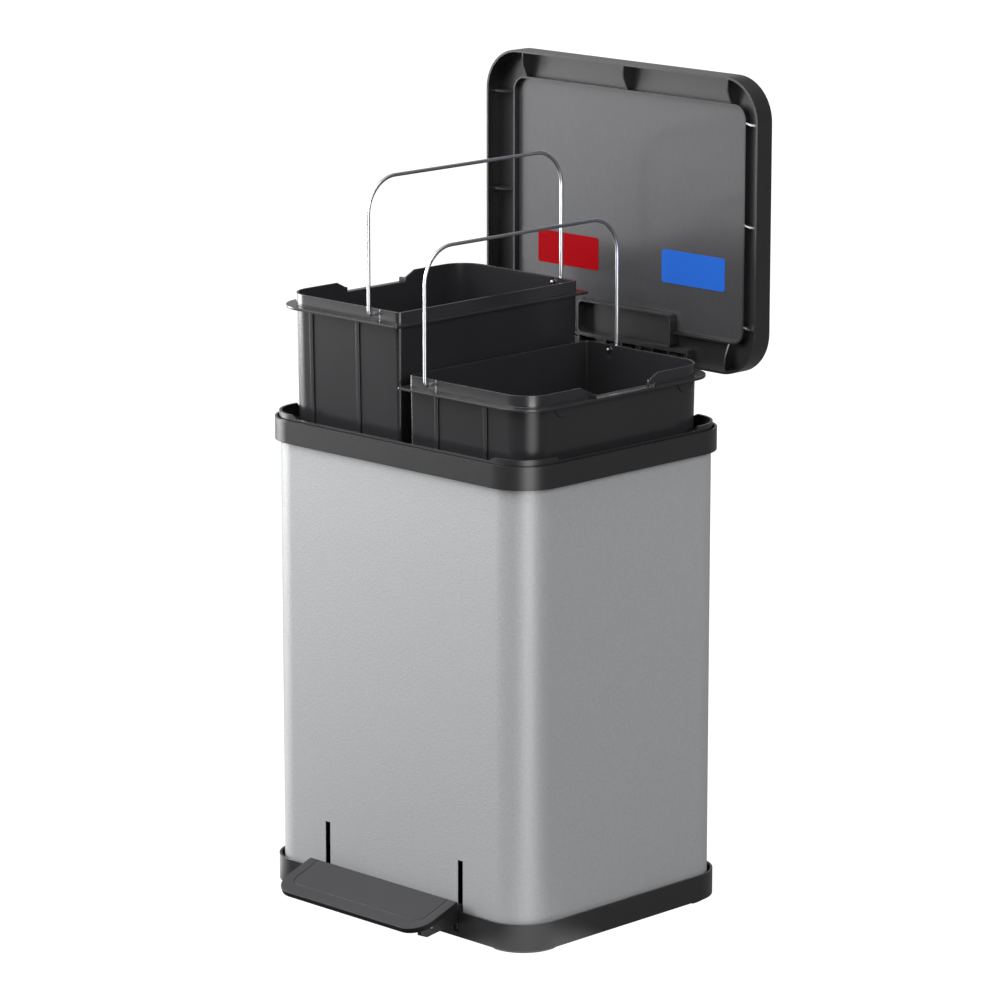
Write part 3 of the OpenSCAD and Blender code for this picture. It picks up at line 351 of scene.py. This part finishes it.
def addPiece(name, mesh, node):
    # one visible piece in place of a node, on the node's body
    mesh.materials.append(materials[nodeSlots[node]])
    piece = bpy.data.objects.new(name, mesh)
    bpy.context.scene.collection.objects.link(piece)
    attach(piece, frame["nodes"][node]["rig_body"])
    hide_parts(node)
    standIns.add(node)
    return piece


def flattenShading(piece):
    normals = piece.modifiers.new("flatFaces", "WEIGHTED_NORMAL")
    normals.keep_sharp = True


def addSkin(form, loops):
    # quads between successive closed loops of mm points, with a flat cap on each end
    rows = [[form.verts.new([c * mm for c in point]) for point in loop] for loop in loops]
    count = len(rows[0])
    for low, high in zip(rows, rows[1:]):
        for i in range(count):
            j = (i + 1) % count
            form.faces.new((low[i], low[j], high[j], high[i]))
    form.faces.new(rows[0][::-1])
    form.faces.new(rows[-1])


def finishForm(form, name, node):
    bmesh.ops.recalc_face_normals(form, faces=form.faces)
    for face in form.faces:
        face.smooth = True
    mesh = bpy.data.meshes.new(name)
    form.to_mesh(mesh)
    form.free()
    flattenShading(addPiece(name, mesh, node))


def arcPoints(x, y, radius, first, steps):
    # quarter arc in plan, starting at the angle first
    angles = [math.radians(first + 90 * i / steps) for i in range(steps + 1)]
    return [(x + radius * math.cos(angle), y + radius * math.sin(angle)) for angle in angles]


def quarterTurn(steps):
    # angles from 0 to 90 degrees
    return [math.radians(90 * i / steps) for i in range(steps + 1)]


# Tread: moulded foot plate, tilted, with rounded front corners and a shallow groove round its field
tread = {
    "long": 60.3,         # mm along its slope
    "thick": 6,
    "tilt": 19.8,         # degrees
    "frontCorner": 25,
    "backCorner": 0.8,
    "leastCorner": 1,
    "cornerSteps": 12,
    "backSteps": 3,
    "soft": 0.9,          # rounding of its edges
    "softSteps": 4,
    "grooveSide": 12,     # from the plate's sides
    "grooveFront": 15,    # from its front edge
    "grooveWide": 1.9,
    "grooveDeep": 0.9,
    "grooveShape": [(0, 0), (0.3, 0.8), (0.5, 1), (0.7, 0.8), (1, 0)],  # shares of width and depth
    "lugOut": 94.0,       # outer face of the lug beside each arm
    "lugThick": 4,
    "lugLong": 18,
    "lugDrop": 12,        # below the plate
    "lugUp": 3,           # into the plate
    "lugChamfer": 1,
    "lugSoft": 0.4,
}


def makeTread(node):
    low, high = boxInMm(node)
    tilt = math.radians(tread["tilt"])
    half = (high.x - low.x) / 2
    along = Vector((0, math.cos(tilt), math.sin(tilt)))
    across = Vector((0, -math.sin(tilt), math.cos(tilt)))
    corner = Vector(((low.x + high.x) / 2, low.y, high.z - tread["long"] * math.sin(tilt)))

    def outline(side, front, back, depth):
        # the plate's outline, drawn in by side, front and back, at a depth along its thickness
        frontRound = max(tread["frontCorner"] - side, tread["leastCorner"])
        backRound = tread["backCorner"]
        frontX, backX = half - side - frontRound, half - side - backRound
        frontY, backY = front + frontRound, tread["long"] - back - backRound
        plan = arcPoints(backX, backY, backRound, 0, tread["backSteps"])
        plan += arcPoints(-backX, backY, backRound, 90, tread["backSteps"])
        plan += arcPoints(-frontX, frontY, frontRound, 180, tread["cornerSteps"])
        plan += arcPoints(frontX, frontY, frontRound, 270, tread["cornerSteps"])
        return [tuple(corner + Vector((x, 0, 0)) + along * y + across * depth) for x, y in plan]

    def roundedEdge(inset, depth):
        return outline(inset, inset, inset, depth)

    soft, thick = tread["soft"], tread["thick"]
    turns = quarterTurn(tread["softSteps"])
    loops = [roundedEdge(soft * (1 - math.sin(a)), soft * (1 - math.cos(a)) - thick) for a in turns]
    loops += [roundedEdge(soft * (1 - math.cos(a)), soft * math.sin(a) - soft) for a in turns]
    for widthShare, depthShare in tread["grooveShape"]:
        inward = tread["grooveWide"] * widthShare
        loops.append(outline(tread["grooveSide"] + inward, tread["grooveFront"] + inward, soft,
                             -tread["grooveDeep"] * depthShare))
    form = bmesh.new()
    addSkin(form, loops)

    foot = corner + along * tread["long"] / 2 - across * thick
    long, up, drop, cut = tread["lugLong"] / 2, tread["lugUp"], tread["lugDrop"], tread["lugChamfer"]
    profile = [(-long, up), (-long, cut - drop), (cut - long, -drop),
               (long - cut, -drop), (long, cut - drop), (long, up)]
    outer, lugSoft = tread["lugOut"], tread["lugSoft"]
    inner = outer - tread["lugThick"]
    for end in (-1, 1):
        stations = [foot.x + end * x for x in (inner, inner + lugSoft, outer - lugSoft, outer)]
        addSkin(form, [[(x, foot.y + y, foot.z + z) for y, z in profile] for x in stations])
    finishForm(form, node + "_moulding", node)


# Buckets: injection moulded, drafted walls, a folded-out flange and a collar above it.
# Heights are measured from the flange's underside; the casing's side of a bucket is its +x
bucket = {
    "height": 385,          # mm below the flange
    "draft": 1.0,           # degrees
    "wall": 2.5,
    "wallIn": 0.3,          # the walls stand this far inside the collar
    "innerDraft": 7.0 / 397,  # the inside draws in by 7 mm from the rim to the floor
    "collarTop": 15,
    "flange": 3,            # its thickness
    "flangeInner": 5.7,     # its reach on the side towards the other bucket
    "flangeOuter": 8.5,     # on the casing's side
    "flangeEnds": 10.5,     # at the front and back
    "flangeGap": 0.08,      # what the flange keeps off the frame's ledge
    "cornerOuter": 31,
    "cornerInner": 6,
    "cornerLeast": [2, 1.2],     # the smallest outer and inner corner round
    "cornerSteps": [12, 6],
    "cornerGrow": [0.7, -0.53],  # how much the corners grow with the flange
    "bottomRound": 12,
    "innerBottomRound": 9.5,
    "bottomSteps": 6,
    "wallRing": 60,         # depth of a ring that keeps the walls' shading even
    "neck": [0.8, 0.2],     # depths between which the wall steps out to the collar
    "root": 0.5,            # slope where the collar stands on the flange
    "softEdge": 0.6,
    "rimRound": [(0.05, 0.3), (0.18, 0.1), (0.6, 0)],  # mm in from the side and down from the top
    "scoopFar": 57,         # half length of the low part of the collar, at its top
    "scoopLow": 44.5,       # where its slopes end
    "scoopEnd": 42.8,       # where it steps down to the flange
    "scoopDrop": 6.3,
    "scoopLeft": 0.8,       # what is left of the collar there
    "journalX": -51.55,     # the bail's journals
    "dishFrom": -8,         # the collar's dish for the bail, about the journal
    "dishTo": 6,
    "dishRamp": 0.4,
    "dishDeep": 0.8,
    "pocketHalf": 3.25,     # the pocket for the wire's end inside the collar
    "pocketDeep": 1.0,
    "pocketTop": 2.1,       # below the collar's top
    "pocketEnd": 11.9,
    "pocketFade": 0.5,
    "insideRing": -2,
    "step": 0.1,            # length of a sharp step
    "ribXs": [-44.5, 25],
    "ribWidth": 4.8,
    "ribOut": 1.75,
    "ribIn": 2.0,           # how deep the rib starts in the wall
    "ribEnd": 360,          # below the flange
    "ribRound": [0.5, 0.15],
    "lap": 0.1,             # what joined forms share
    "padYs": [-82, 98],     # half-round pads under the flange on the casing's side
    "padRadius": 12,
    "padSteps": 24,
    "padTrim": 1.5,         # a pad is as deep as its radius less this,
    "padStretch": 1.1,      # stretched by this
    "padShape": [(0, -1.2), (0, 0.5), (0.15, 0.85), (0.5, 0.95)],  # mm in from its edge, out of the wall
    "stopFrom": 42.9,       # small walls at the ends of the low part
    "stopTo": 45.1,
    "stopIn": 1.2,          # how deep they start in the wall
    "stopReach": 8,
    "stopDrop": 7.4,        # below the collar's top
}


def scoopLift(x, y, outerX):
    # how far the collar's top comes down along the casing's side
    if abs(x - outerX) > 0.01 or abs(y) > bucket["scoopFar"]:
        return 0
    if abs(y) < bucket["scoopEnd"]:
        return bucket["flange"] + bucket["scoopLeft"] - bucket["collarTop"]
    slope = (bucket["scoopFar"] - abs(y)) / (bucket["scoopFar"] - bucket["scoopLow"])
    return -bucket["scoopDrop"] * min(1, slope)


def bucketLoop(size, inset, z, grow=(0, 0, 0), lift=None, dish=0, pocket=0):
    # one closed outline at a height: inset draws it in, grow lets it out for the flange,
    # lift moves its points up, dish draws it in at the journals and pocket lets it out there
    outerX = size[0] / 2 + grow[0] - inset
    innerX = inset - size[0] / 2 - grow[1]
    endY = size[1] / 2 + grow[2] - inset
    outerRound = bucket["cornerOuter"] + grow[0] * bucket["cornerGrow"][0] - inset
    innerRound = bucket["cornerInner"] + grow[1] * bucket["cornerGrow"][1] - inset
    outerRound = max(outerRound, bucket["cornerLeast"][0])
    innerRound = max(innerRound, bucket["cornerLeast"][1])
    outerSteps, innerSteps = bucket["cornerSteps"]
    half, step, ramp = bucket["pocketHalf"], bucket["step"], bucket["dishRamp"]
    offsets = [bucket["dishFrom"] - ramp, bucket["dishFrom"], -half - step / 2, -half,
               half, half + step / 2, bucket["dishTo"], bucket["dishTo"] + ramp]

    def endRow(side):
        # along the front or back wall, past the journal
        row = []
        for offset in offsets:
            inward = dish if bucket["dishFrom"] <= offset <= bucket["dishTo"] else 0
            outward = pocket if abs(offset) <= half else 0
            row.append((bucket["journalX"] - side * offset, side * (endY - inward + outward)))
        return row

    far, low, end = bucket["scoopFar"], bucket["scoopLow"], bucket["scoopEnd"]
    stations = [-far, -low, -end - step, -end + step, end - step, end + step, low, far]
    points = [(outerX, y) for y in stations]
    points += arcPoints(outerX - outerRound, endY - outerRound, outerRound, 0, outerSteps)
    points += endRow(1)
    points += arcPoints(innerX + innerRound, endY - innerRound, innerRound, 90, innerSteps)
    points += arcPoints(innerX + innerRound, innerRound - endY, innerRound, 180, innerSteps)
    points += endRow(-1)
    points += arcPoints(outerX - outerRound, outerRound - endY, outerRound, 270, outerSteps)
    return [(x, y, z + (lift(x, y, outerX) if lift else 0)) for x, y in points]


def bucketOutside(size):
    # loops from the bottom up to the rim
    slope = math.tan(math.radians(bucket["draft"]))
    deep, bottom, start = bucket["height"], bucket["bottomRound"], bucket["wallIn"]
    gap, thick, soft = bucket["flangeGap"], bucket["flange"], bucket["softEdge"]
    top, dish = bucket["collarTop"], bucket["dishDeep"]
    grow = (bucket["flangeOuter"], bucket["flangeInner"], bucket["flangeEnds"])
    loops = [bucketLoop(size, start + deep * slope + bottom * (1 - math.sin(a)),
                        bottom * (1 - math.cos(a)) - deep) for a in quarterTurn(bucket["bottomSteps"])]
    neckLow, neckHigh = bucket["neck"]
    loops += [bucketLoop(size, start + down * slope, -down) for down in (bucket["wallRing"], neckLow)]
    loops += [bucketLoop(size, 0, -neckHigh), bucketLoop(size, -soft, gap)]
    bow = 0.3 * soft  # where a round edge's middle lies
    flangeEdge = [(soft, gap), (bow, gap + bow), (0, soft), (0, thick - soft), (bow, thick - bow),
                  (soft, thick)]
    loops += [bucketLoop(size, inset, z, grow) for inset, z in flangeEdge]
    root = bucket["root"]
    loops += [bucketLoop(size, -root, thick), bucketLoop(size, 0, thick + root, dish=dish)]
    loops += [bucketLoop(size, 0, top - soft, lift=scoopLift, dish=dish)]
    return loops + [bucketLoop(size, inset, top - down, lift=scoopLift, dish=dish)
                    for inset, down in bucket["rimRound"]]


def bucketInside(size):
    # loops from the rim down to the floor
    top, wall, soft = bucket["collarTop"], bucket["wall"], bucket["softEdge"]
    floor = wall - bucket["height"]

    def drafted(z):
        return wall + (top - z) * bucket["innerDraft"]

    def pocketLoop(down, depth):
        def lift(x, y, outerX):
            return min(0, scoopLift(x, y, outerX) + down - soft)
        return bucketLoop(size, drafted(top - down), top - down, lift=lift, pocket=depth)

    loops = [bucketLoop(size, wall - inset, top - down, lift=scoopLift)
             for inset, down in bucket["rimRound"][::-1] + [(0, soft)]]
    loops += [pocketLoop(bucket["pocketTop"] - bucket["step"], 0),
              pocketLoop(bucket["pocketTop"], bucket["pocketDeep"]),
              pocketLoop(bucket["pocketEnd"], bucket["pocketDeep"])]
    below = top - bucket["pocketEnd"] - bucket["pocketFade"]
    loops += [bucketLoop(size, drafted(z), z) for z in (below, bucket["insideRing"], -bucket["wallRing"])]
    bottom, turns = bucket["innerBottomRound"], quarterTurn(bucket["bottomSteps"])
    return loops + [bucketLoop(size, drafted(floor) + bottom * (1 - math.cos(a)),
                               floor + bottom * (1 - math.sin(a))) for a in turns]


def addRibs(form, endY):
    # upright ribs on the front and back walls
    slope = math.tan(math.radians(bucket["draft"]))
    half, out = bucket["ribWidth"] / 2, bucket["ribOut"]
    wide, narrow = bucket["ribRound"]
    right = [(half, -bucket["ribIn"]), (half, out - wide),
             (half - narrow, out - narrow), (half - wide, out)]
    profile = right + [(-x, y) for x, y in right[::-1]]
    for end in (-1, 1):
        for place in bucket["ribXs"]:
            loops = []
            for z in (-bucket["ribEnd"], bucket["lap"]):
                face = endY - bucket["wallIn"] + z * slope
                loops.append([(-end * (place + x), end * (face + y), z) for x, y in profile])
            addSkin(form, loops)


def addPads(form, outerX):
    # half-round pads on the casing's side, under the flange
    for place in bucket["padYs"]:
        loops = []
        for inset, out in bucket["padShape"]:
            radius = bucket["padRadius"] - inset
            deep = (radius - bucket["padTrim"]) * bucket["padStretch"]
            turns = [math.pi * (1 + i / bucket["padSteps"]) for i in range(bucket["padSteps"] + 1)]
            loops.append([(outerX + out, place + radius * math.cos(turn),
                           bucket["lap"] / 2 + deep * math.sin(turn)) for turn in turns])
        addSkin(form, loops)


def addStops(form, outerX):
    # small walls on the flange at the ends of the collar's low part
    base, start = bucket["flange"] - bucket["lap"], outerX - bucket["stopIn"]
    tip, high = outerX + bucket["stopReach"], bucket["collarTop"] - bucket["stopDrop"]
    near, far, soft = bucket["stopFrom"], bucket["stopTo"], bucket["softEdge"]
    profile = [(start, base), (tip, base), (tip, high - soft), (tip - soft / 3, high - soft / 3),
               (tip - soft, high), (start, high)]
    for side in (-1, 1):
        stations = [side * y for y in (near, near + soft / 2, far - soft / 2, far)]
        addSkin(form, [[(x, y, z) for x, z in profile] for y in stations])


def makeBucket(node, turned):
    low, high = boxInMm(node)
    size = (high.x - low.x - bucket["flangeInner"] - bucket["flangeOuter"],
            high.y - low.y - 2 * bucket["flangeEnds"])
    form = bmesh.new()
    addSkin(form, bucketOutside(size) + bucketInside(size))
    addRibs(form, size[1] / 2)
    addPads(form, size[0] / 2)
    addStops(form, size[0] / 2)
    sign = -1 if turned else 1  # both buckets come from one mould
    middle = Vector(((low.x + high.x) / 2, (low.y + high.y) / 2, high.z - bucket["collarTop"]))
    middle.x -= sign * (bucket["flangeOuter"] - bucket["flangeInner"]) / 2
    middle *= mm
    for vert in form.verts:
        vert.co = middle + Vector((sign * vert.co.x, sign * vert.co.y, vert.co.z))
    finishForm(form, node + "_moulding", node)


# Bails: bright plated wire, bent at the journals and at the grip, with domed ends inside the collars
bail = {
    "wire": 3.8,            # mm
    "gripBend": 38,
    "gripStep": 5,          # degrees between its rings
    "straight": 40,         # a ring this far below the bend keeps the leg's shading even
    "journalBend": 4.5,
    "journalStep": 9,
    "tip": 127.6,           # y of the wire's end before its dome
    "sides": 24,
    "dome": [(0.87, 0.5), (0.5, 0.87), (0.12, 1.0)],  # shares of the radius, across and along
}


def domeRing(ring, share, push):
    # smaller copy of a wire's end ring, moved along y
    heart = sum((Vector(point) for point in ring), Vector()) / len(ring)
    return [tuple(heart + (Vector(point) - heart) * share + Vector((0, push, 0))) for point in ring]


def makeBail(node):
    low, high = boxInMm(node)
    radius = bail["wire"] / 2
    x = (low.x + high.x) / 2
    middle = (low.y + high.y) / 2
    leg = (high.y - low.y) / 2 - radius
    base, grip = low.z + radius, high.z - radius
    bend, small = bail["gripBend"], bail["journalBend"]
    # half of the wire's line, as y, z and the angle of its outer side
    half = [(bail["tip"], base, -90), (leg - small, base, -90)]
    for angle in range(0, 91, bail["journalStep"]):
        turn = math.radians(angle)
        outward, upward = small * math.sin(turn), small * (1 - math.cos(turn))
        half.append((leg - small + outward, base + upward, angle - 90))
    half.append((leg, grip - bend - bail["straight"], 0))
    for angle in range(0, 91, bail["gripStep"]):
        turn = math.radians(angle)
        half.append((leg - bend + bend * math.cos(turn), grip - bend + bend * math.sin(turn), angle))
    line = half + [(-y, z, 180 - angle) for y, z, angle in half[::-1]]
    turns = [2 * math.pi * i / bail["sides"] for i in range(bail["sides"])]
    rings = []
    for y, z, angle in line:
        outY, outZ = math.cos(math.radians(angle)), math.sin(math.radians(angle))
        rings.append([(x + radius * math.sin(turn), middle + y + outY * radius * math.cos(turn),
                       z + outZ * radius * math.cos(turn)) for turn in turns])
    first, last = rings[0], rings[-1]
    for share, reach in bail["dome"]:
        rings.insert(0, domeRing(first, share, -radius * reach))
        rings.append(domeRing(last, share, radius * reach))
    form = bmesh.new()
    addSkin(form, rings)
    finishForm(form, node + "_wire", node)


makeTread("pedal_tread")
makeBucket("bucket_left", turned=True)
makeBucket("bucket_right", turned=False)
makeBail("bail_left")
makeBail("bail_right")
say("tread, buckets and bails made")


# Other mouldings and pressings: their solids with clean faces and rounded edges
edges = {
    "widths": {             # mm of rounding, less on thin pieces
        "body_shell": 0.15, "base_tray": 1.1, "corner_feet": 0.8, "top_frame": 0.9,
        "hinge_bracket": 0.5, "hinge_pin_caps": 0.6, "rod_guide_upper": 0.6, "rod_guide_lower": 0.6,
        "pedal_arm_left": 0.4, "pedal_arm_right": 0.4, "pedal_tongue": 0.4, "lid_shell": 0.6,
        "lid_hinge_block": 0.4,
    },
    "steps": 2,
    "sharpest": 32,         # degrees; a flatter edge than this stays as it is
    "flat": 0.6,            # degrees; facets flatter than this join to one face
    "join": 0.001,          # mm; corners nearer than this are one
}


def softenNode(node, width):
    mesh = frame["nodes"][node].data.copy()
    mesh.materials.clear()
    cleaner = bmesh.new()
    cleaner.from_mesh(mesh)
    bmesh.ops.remove_doubles(cleaner, verts=cleaner.verts, dist=edges["join"] * mm)
    bmesh.ops.dissolve_limit(cleaner, angle_limit=math.radians(edges["flat"]), verts=cleaner.verts,
                             edges=cleaner.edges, use_dissolve_boundaries=False)
    for face in cleaner.faces:
        face.smooth = True
    cleaner.to_mesh(mesh)
    cleaner.free()
    if "custom_normal" in mesh.attributes:
        mesh.attributes.remove(mesh.attributes["custom_normal"])
    piece = addPiece("soft_" + node, mesh, node)
    bevel = piece.modifiers.new("roundEdges", "BEVEL")
    bevel.width = width * mm
    bevel.segments = edges["steps"]
    bevel.limit_method = "ANGLE"
    bevel.angle_limit = math.radians(edges["sharpest"])
    bevel.miter_outer = "MITER_ARC"
    flattenShading(piece)


for node, width in edges["widths"].items():
    softenNode(node, width)
for node, solid in frame["nodes"].items():
    if node not in standIns:
        # pins, screws, rods and plates keep their solids
        solid.data.materials.clear()
        solid.data.materials.append(materials[nodeSlots[node]])
say("other pieces dressed")


# Studio: white to the camera, soft light from the front left, a darker room to the right
studio = {
    "floorSize": 24.0,      # m
    "floorTone": "#7C7C7C",
    "floorGlow": 1.55,      # with its share below, the floor is white to the camera
    "glowShare": 0.7,       # the rest shows the bin's shadow
    "ambient": 0.44,
    "brightSide": 0.8,      # what glossy faces see on the left
    "darkSide": 0.14,       # and on the right
    "sideReach": (-0.9, 0.15),
    "frontShare": 0.45,     # how much the front counts as left
    "ceiling": 0.9,
    "ceilingReach": (0.6, 0.9),
    "brightFloor": 2.9,     # painted reflection: the floor's glow far to the left, which only glossy faces see
    "dimFloor": 0.22,       # and near the bin
    "floorReach": (-3.2, -2.25),
    "floorStreak": 1.7,     # the softboxes' shine, painted on it as a glow
    "streakReach": (0.88, 0.98),
    "streakWays": [(0.848, -0.53, 0), (-0.966, -0.26, 0)],  # towards the two tall softboxes
}

# Softboxes, in metres and watts: aim is the height they point at, mirrored ones show in gloss,
# and lighting ones light the surfaces
lamps = {
    "frontSoftbox": {"place": (-1.6, -3.0, 2.4), "aim": 0.4, "size": (2.4, 2.4), "power": 130,
                     "mirrored": True, "lighting": True},
    "stripSoftbox": {"place": (2.72, -1.7, 1.1), "aim": 0.5, "size": (1.3, 2.2), "power": 84,
                     "mirrored": True, "lighting": False},
    "leftSoftbox": {"place": (-3.06, -0.9, 1.1), "aim": 0.5, "size": (1.5, 2.4), "power": 180,
                    "mirrored": True, "lighting": False},
    "topSoftbox": {"place": (0.1, -1.3, 3.2), "aim": 0.5, "size": (1.6, 1.6), "power": 46,
                   "mirrored": True, "lighting": True},
    "rightFill": {"place": (3.1, 0.5, 2.0), "aim": 0.5, "size": (2.0, 2.0), "power": 58,
                  "mirrored": False, "lighting": True},
}
white = hexColor("#FFFFFF")


def makeWorld():
    world = bpy.data.worlds.new("studioWhite")
    bpy.context.scene.world = world
    world.use_nodes = True
    tree = world.node_tree
    tree.nodes.clear()
    rays = addNode(tree, "ShaderNodeLightPath").outputs
    generated = addNode(tree, "ShaderNodeTexCoord").outputs["Generated"]
    direction = addNode(tree, "ShaderNodeSeparateXYZ", {"Vector": generated}).outputs
    # glossy rays see a room that is bright to the left and dark to the right, under a bright ceiling
    across = addNode(tree, "ShaderNodeMath", {
        0: direction["Y"], 1: studio["frontShare"], 2: direction["X"]}, operation="MULTIPLY_ADD")
    room = addNode(tree, "ShaderNodeMapRange", {
        "Value": across.outputs["Value"],
        "From Min": studio["sideReach"][0], "From Max": studio["sideReach"][1],
        "To Min": studio["brightSide"], "To Max": studio["darkSide"]}, interpolation_type="SMOOTHSTEP")
    above = addNode(tree, "ShaderNodeMapRange", {
        "Value": direction["Z"], "To Max": studio["ceiling"],
        "From Min": studio["ceilingReach"][0], "From Max": studio["ceilingReach"][1]})
    brighter = addNode(tree, "ShaderNodeMath", {
        0: room.outputs["Result"], 1: above.outputs["Result"]}, operation="MAXIMUM")
    mirrored = addNode(tree, "ShaderNodeBackground", {
        "Color": white, "Strength": brighter.outputs["Value"]})
    # surfaces are lit by a soft even light, and the camera sees plain white
    soft = addNode(tree, "ShaderNodeBackground", {"Color": white, "Strength": studio["ambient"]})
    plain = addNode(tree, "ShaderNodeBackground", {"Color": white, "Strength": 1.0})
    lighting = addNode(tree, "ShaderNodeMixShader", {
        0: rays["Is Glossy Ray"], 1: soft.outputs[0], 2: mirrored.outputs[0]})
    seen = addNode(tree, "ShaderNodeMath", {
        0: rays["Is Camera Ray"], 1: rays["Is Transmission Ray"]}, operation="MAXIMUM")
    mix = addNode(tree, "ShaderNodeMixShader", {
        0: seen.outputs["Value"], 1: lighting.outputs[0], 2: plain.outputs[0]})
    addNode(tree, "ShaderNodeOutputWorld", {"Surface": mix.outputs[0]})


def makeFloor():
    half = studio["floorSize"] / 2
    mesh = bpy.data.meshes.new("studioFloor")
    corners = [(-half, -half, 0), (half, -half, 0), (half, half, 0), (-half, half, 0)]
    mesh.from_pydata(corners, [], [(0, 1, 2, 3)])
    floor = bpy.data.objects.new("studioFloor", mesh)
    bpy.context.scene.collection.objects.link(floor)
    material, tree, place = startMaterial("paleFloor")
    rays = addNode(tree, "ShaderNodeLightPath").outputs
    # painted reflection: glossy rays see the floor glow bright to the left, with the softboxes' shine
    # painted on it
    sideways = addNode(tree, "ShaderNodeSeparateXYZ", {"Vector": place}).outputs["X"]
    shine = addNode(tree, "ShaderNodeMapRange", {
        "Value": sideways, "From Min": studio["floorReach"][0], "From Max": studio["floorReach"][1],
        "To Min": studio["brightFloor"], "To Max": studio["dimFloor"]},
        interpolation_type="SMOOTHSTEP").outputs["Result"]
    heading = addNode(tree, "ShaderNodeVectorMath", {0: place}, operation="NORMALIZE").outputs["Vector"]
    for way in studio["streakWays"]:
        near = addNode(tree, "ShaderNodeVectorMath", {0: heading, 1: way}, operation="DOT_PRODUCT")
        streak = addNode(tree, "ShaderNodeMapRange", {
            "Value": near.outputs["Value"], "To Max": studio["floorStreak"],
            "From Min": studio["streakReach"][0], "From Max": studio["streakReach"][1]})
        shine = addNode(tree, "ShaderNodeMath", {
            0: shine, 1: streak.outputs["Result"]}, operation="MAXIMUM").outputs["Value"]
    mirrored = addNode(tree, "ShaderNodeEmission", {"Color": white, "Strength": shine})
    # the camera sees it white but for the bin's shadow
    matte = addNode(tree, "ShaderNodeBsdfDiffuse", {"Color": hexColor(studio["floorTone"])})
    glow = addNode(tree, "ShaderNodeEmission", {"Color": white, "Strength": studio["floorGlow"]})
    share = addNode(tree, "ShaderNodeMath", {
        0: rays["Is Camera Ray"], 1: studio["glowShare"]}, operation="MULTIPLY")
    seen = addNode(tree, "ShaderNodeMixShader", {
        0: share.outputs["Value"], 1: matte.outputs[0], 2: glow.outputs[0]})
    finishMaterial(tree, addNode(tree, "ShaderNodeMixShader", {
        0: rays["Is Glossy Ray"], 1: seen.outputs[0], 2: mirrored.outputs[0]}))
    mesh.materials.append(material)


def makeLamp(name, lamp):
    light = bpy.data.lights.new(name, "AREA")
    light.shape = "RECTANGLE"
    light.size, light.size_y = lamp["size"]
    light.energy = lamp["power"]
    softbox = bpy.data.objects.new(name, light)
    softbox.location = lamp["place"]
    towards = Vector((0, 0, lamp["aim"])) - Vector(lamp["place"])
    softbox.rotation_euler = towards.to_track_quat("-Z", "Y").to_euler()
    softbox.visible_glossy = lamp["mirrored"]
    softbox.visible_diffuse = lamp["lighting"]
    bpy.context.scene.collection.objects.link(softbox)


makeWorld()
makeFloor()
for name, lamp in lamps.items():
    makeLamp(name, lamp)
bpy.context.scene.view_settings.view_transform = "Standard"
say("studio made")
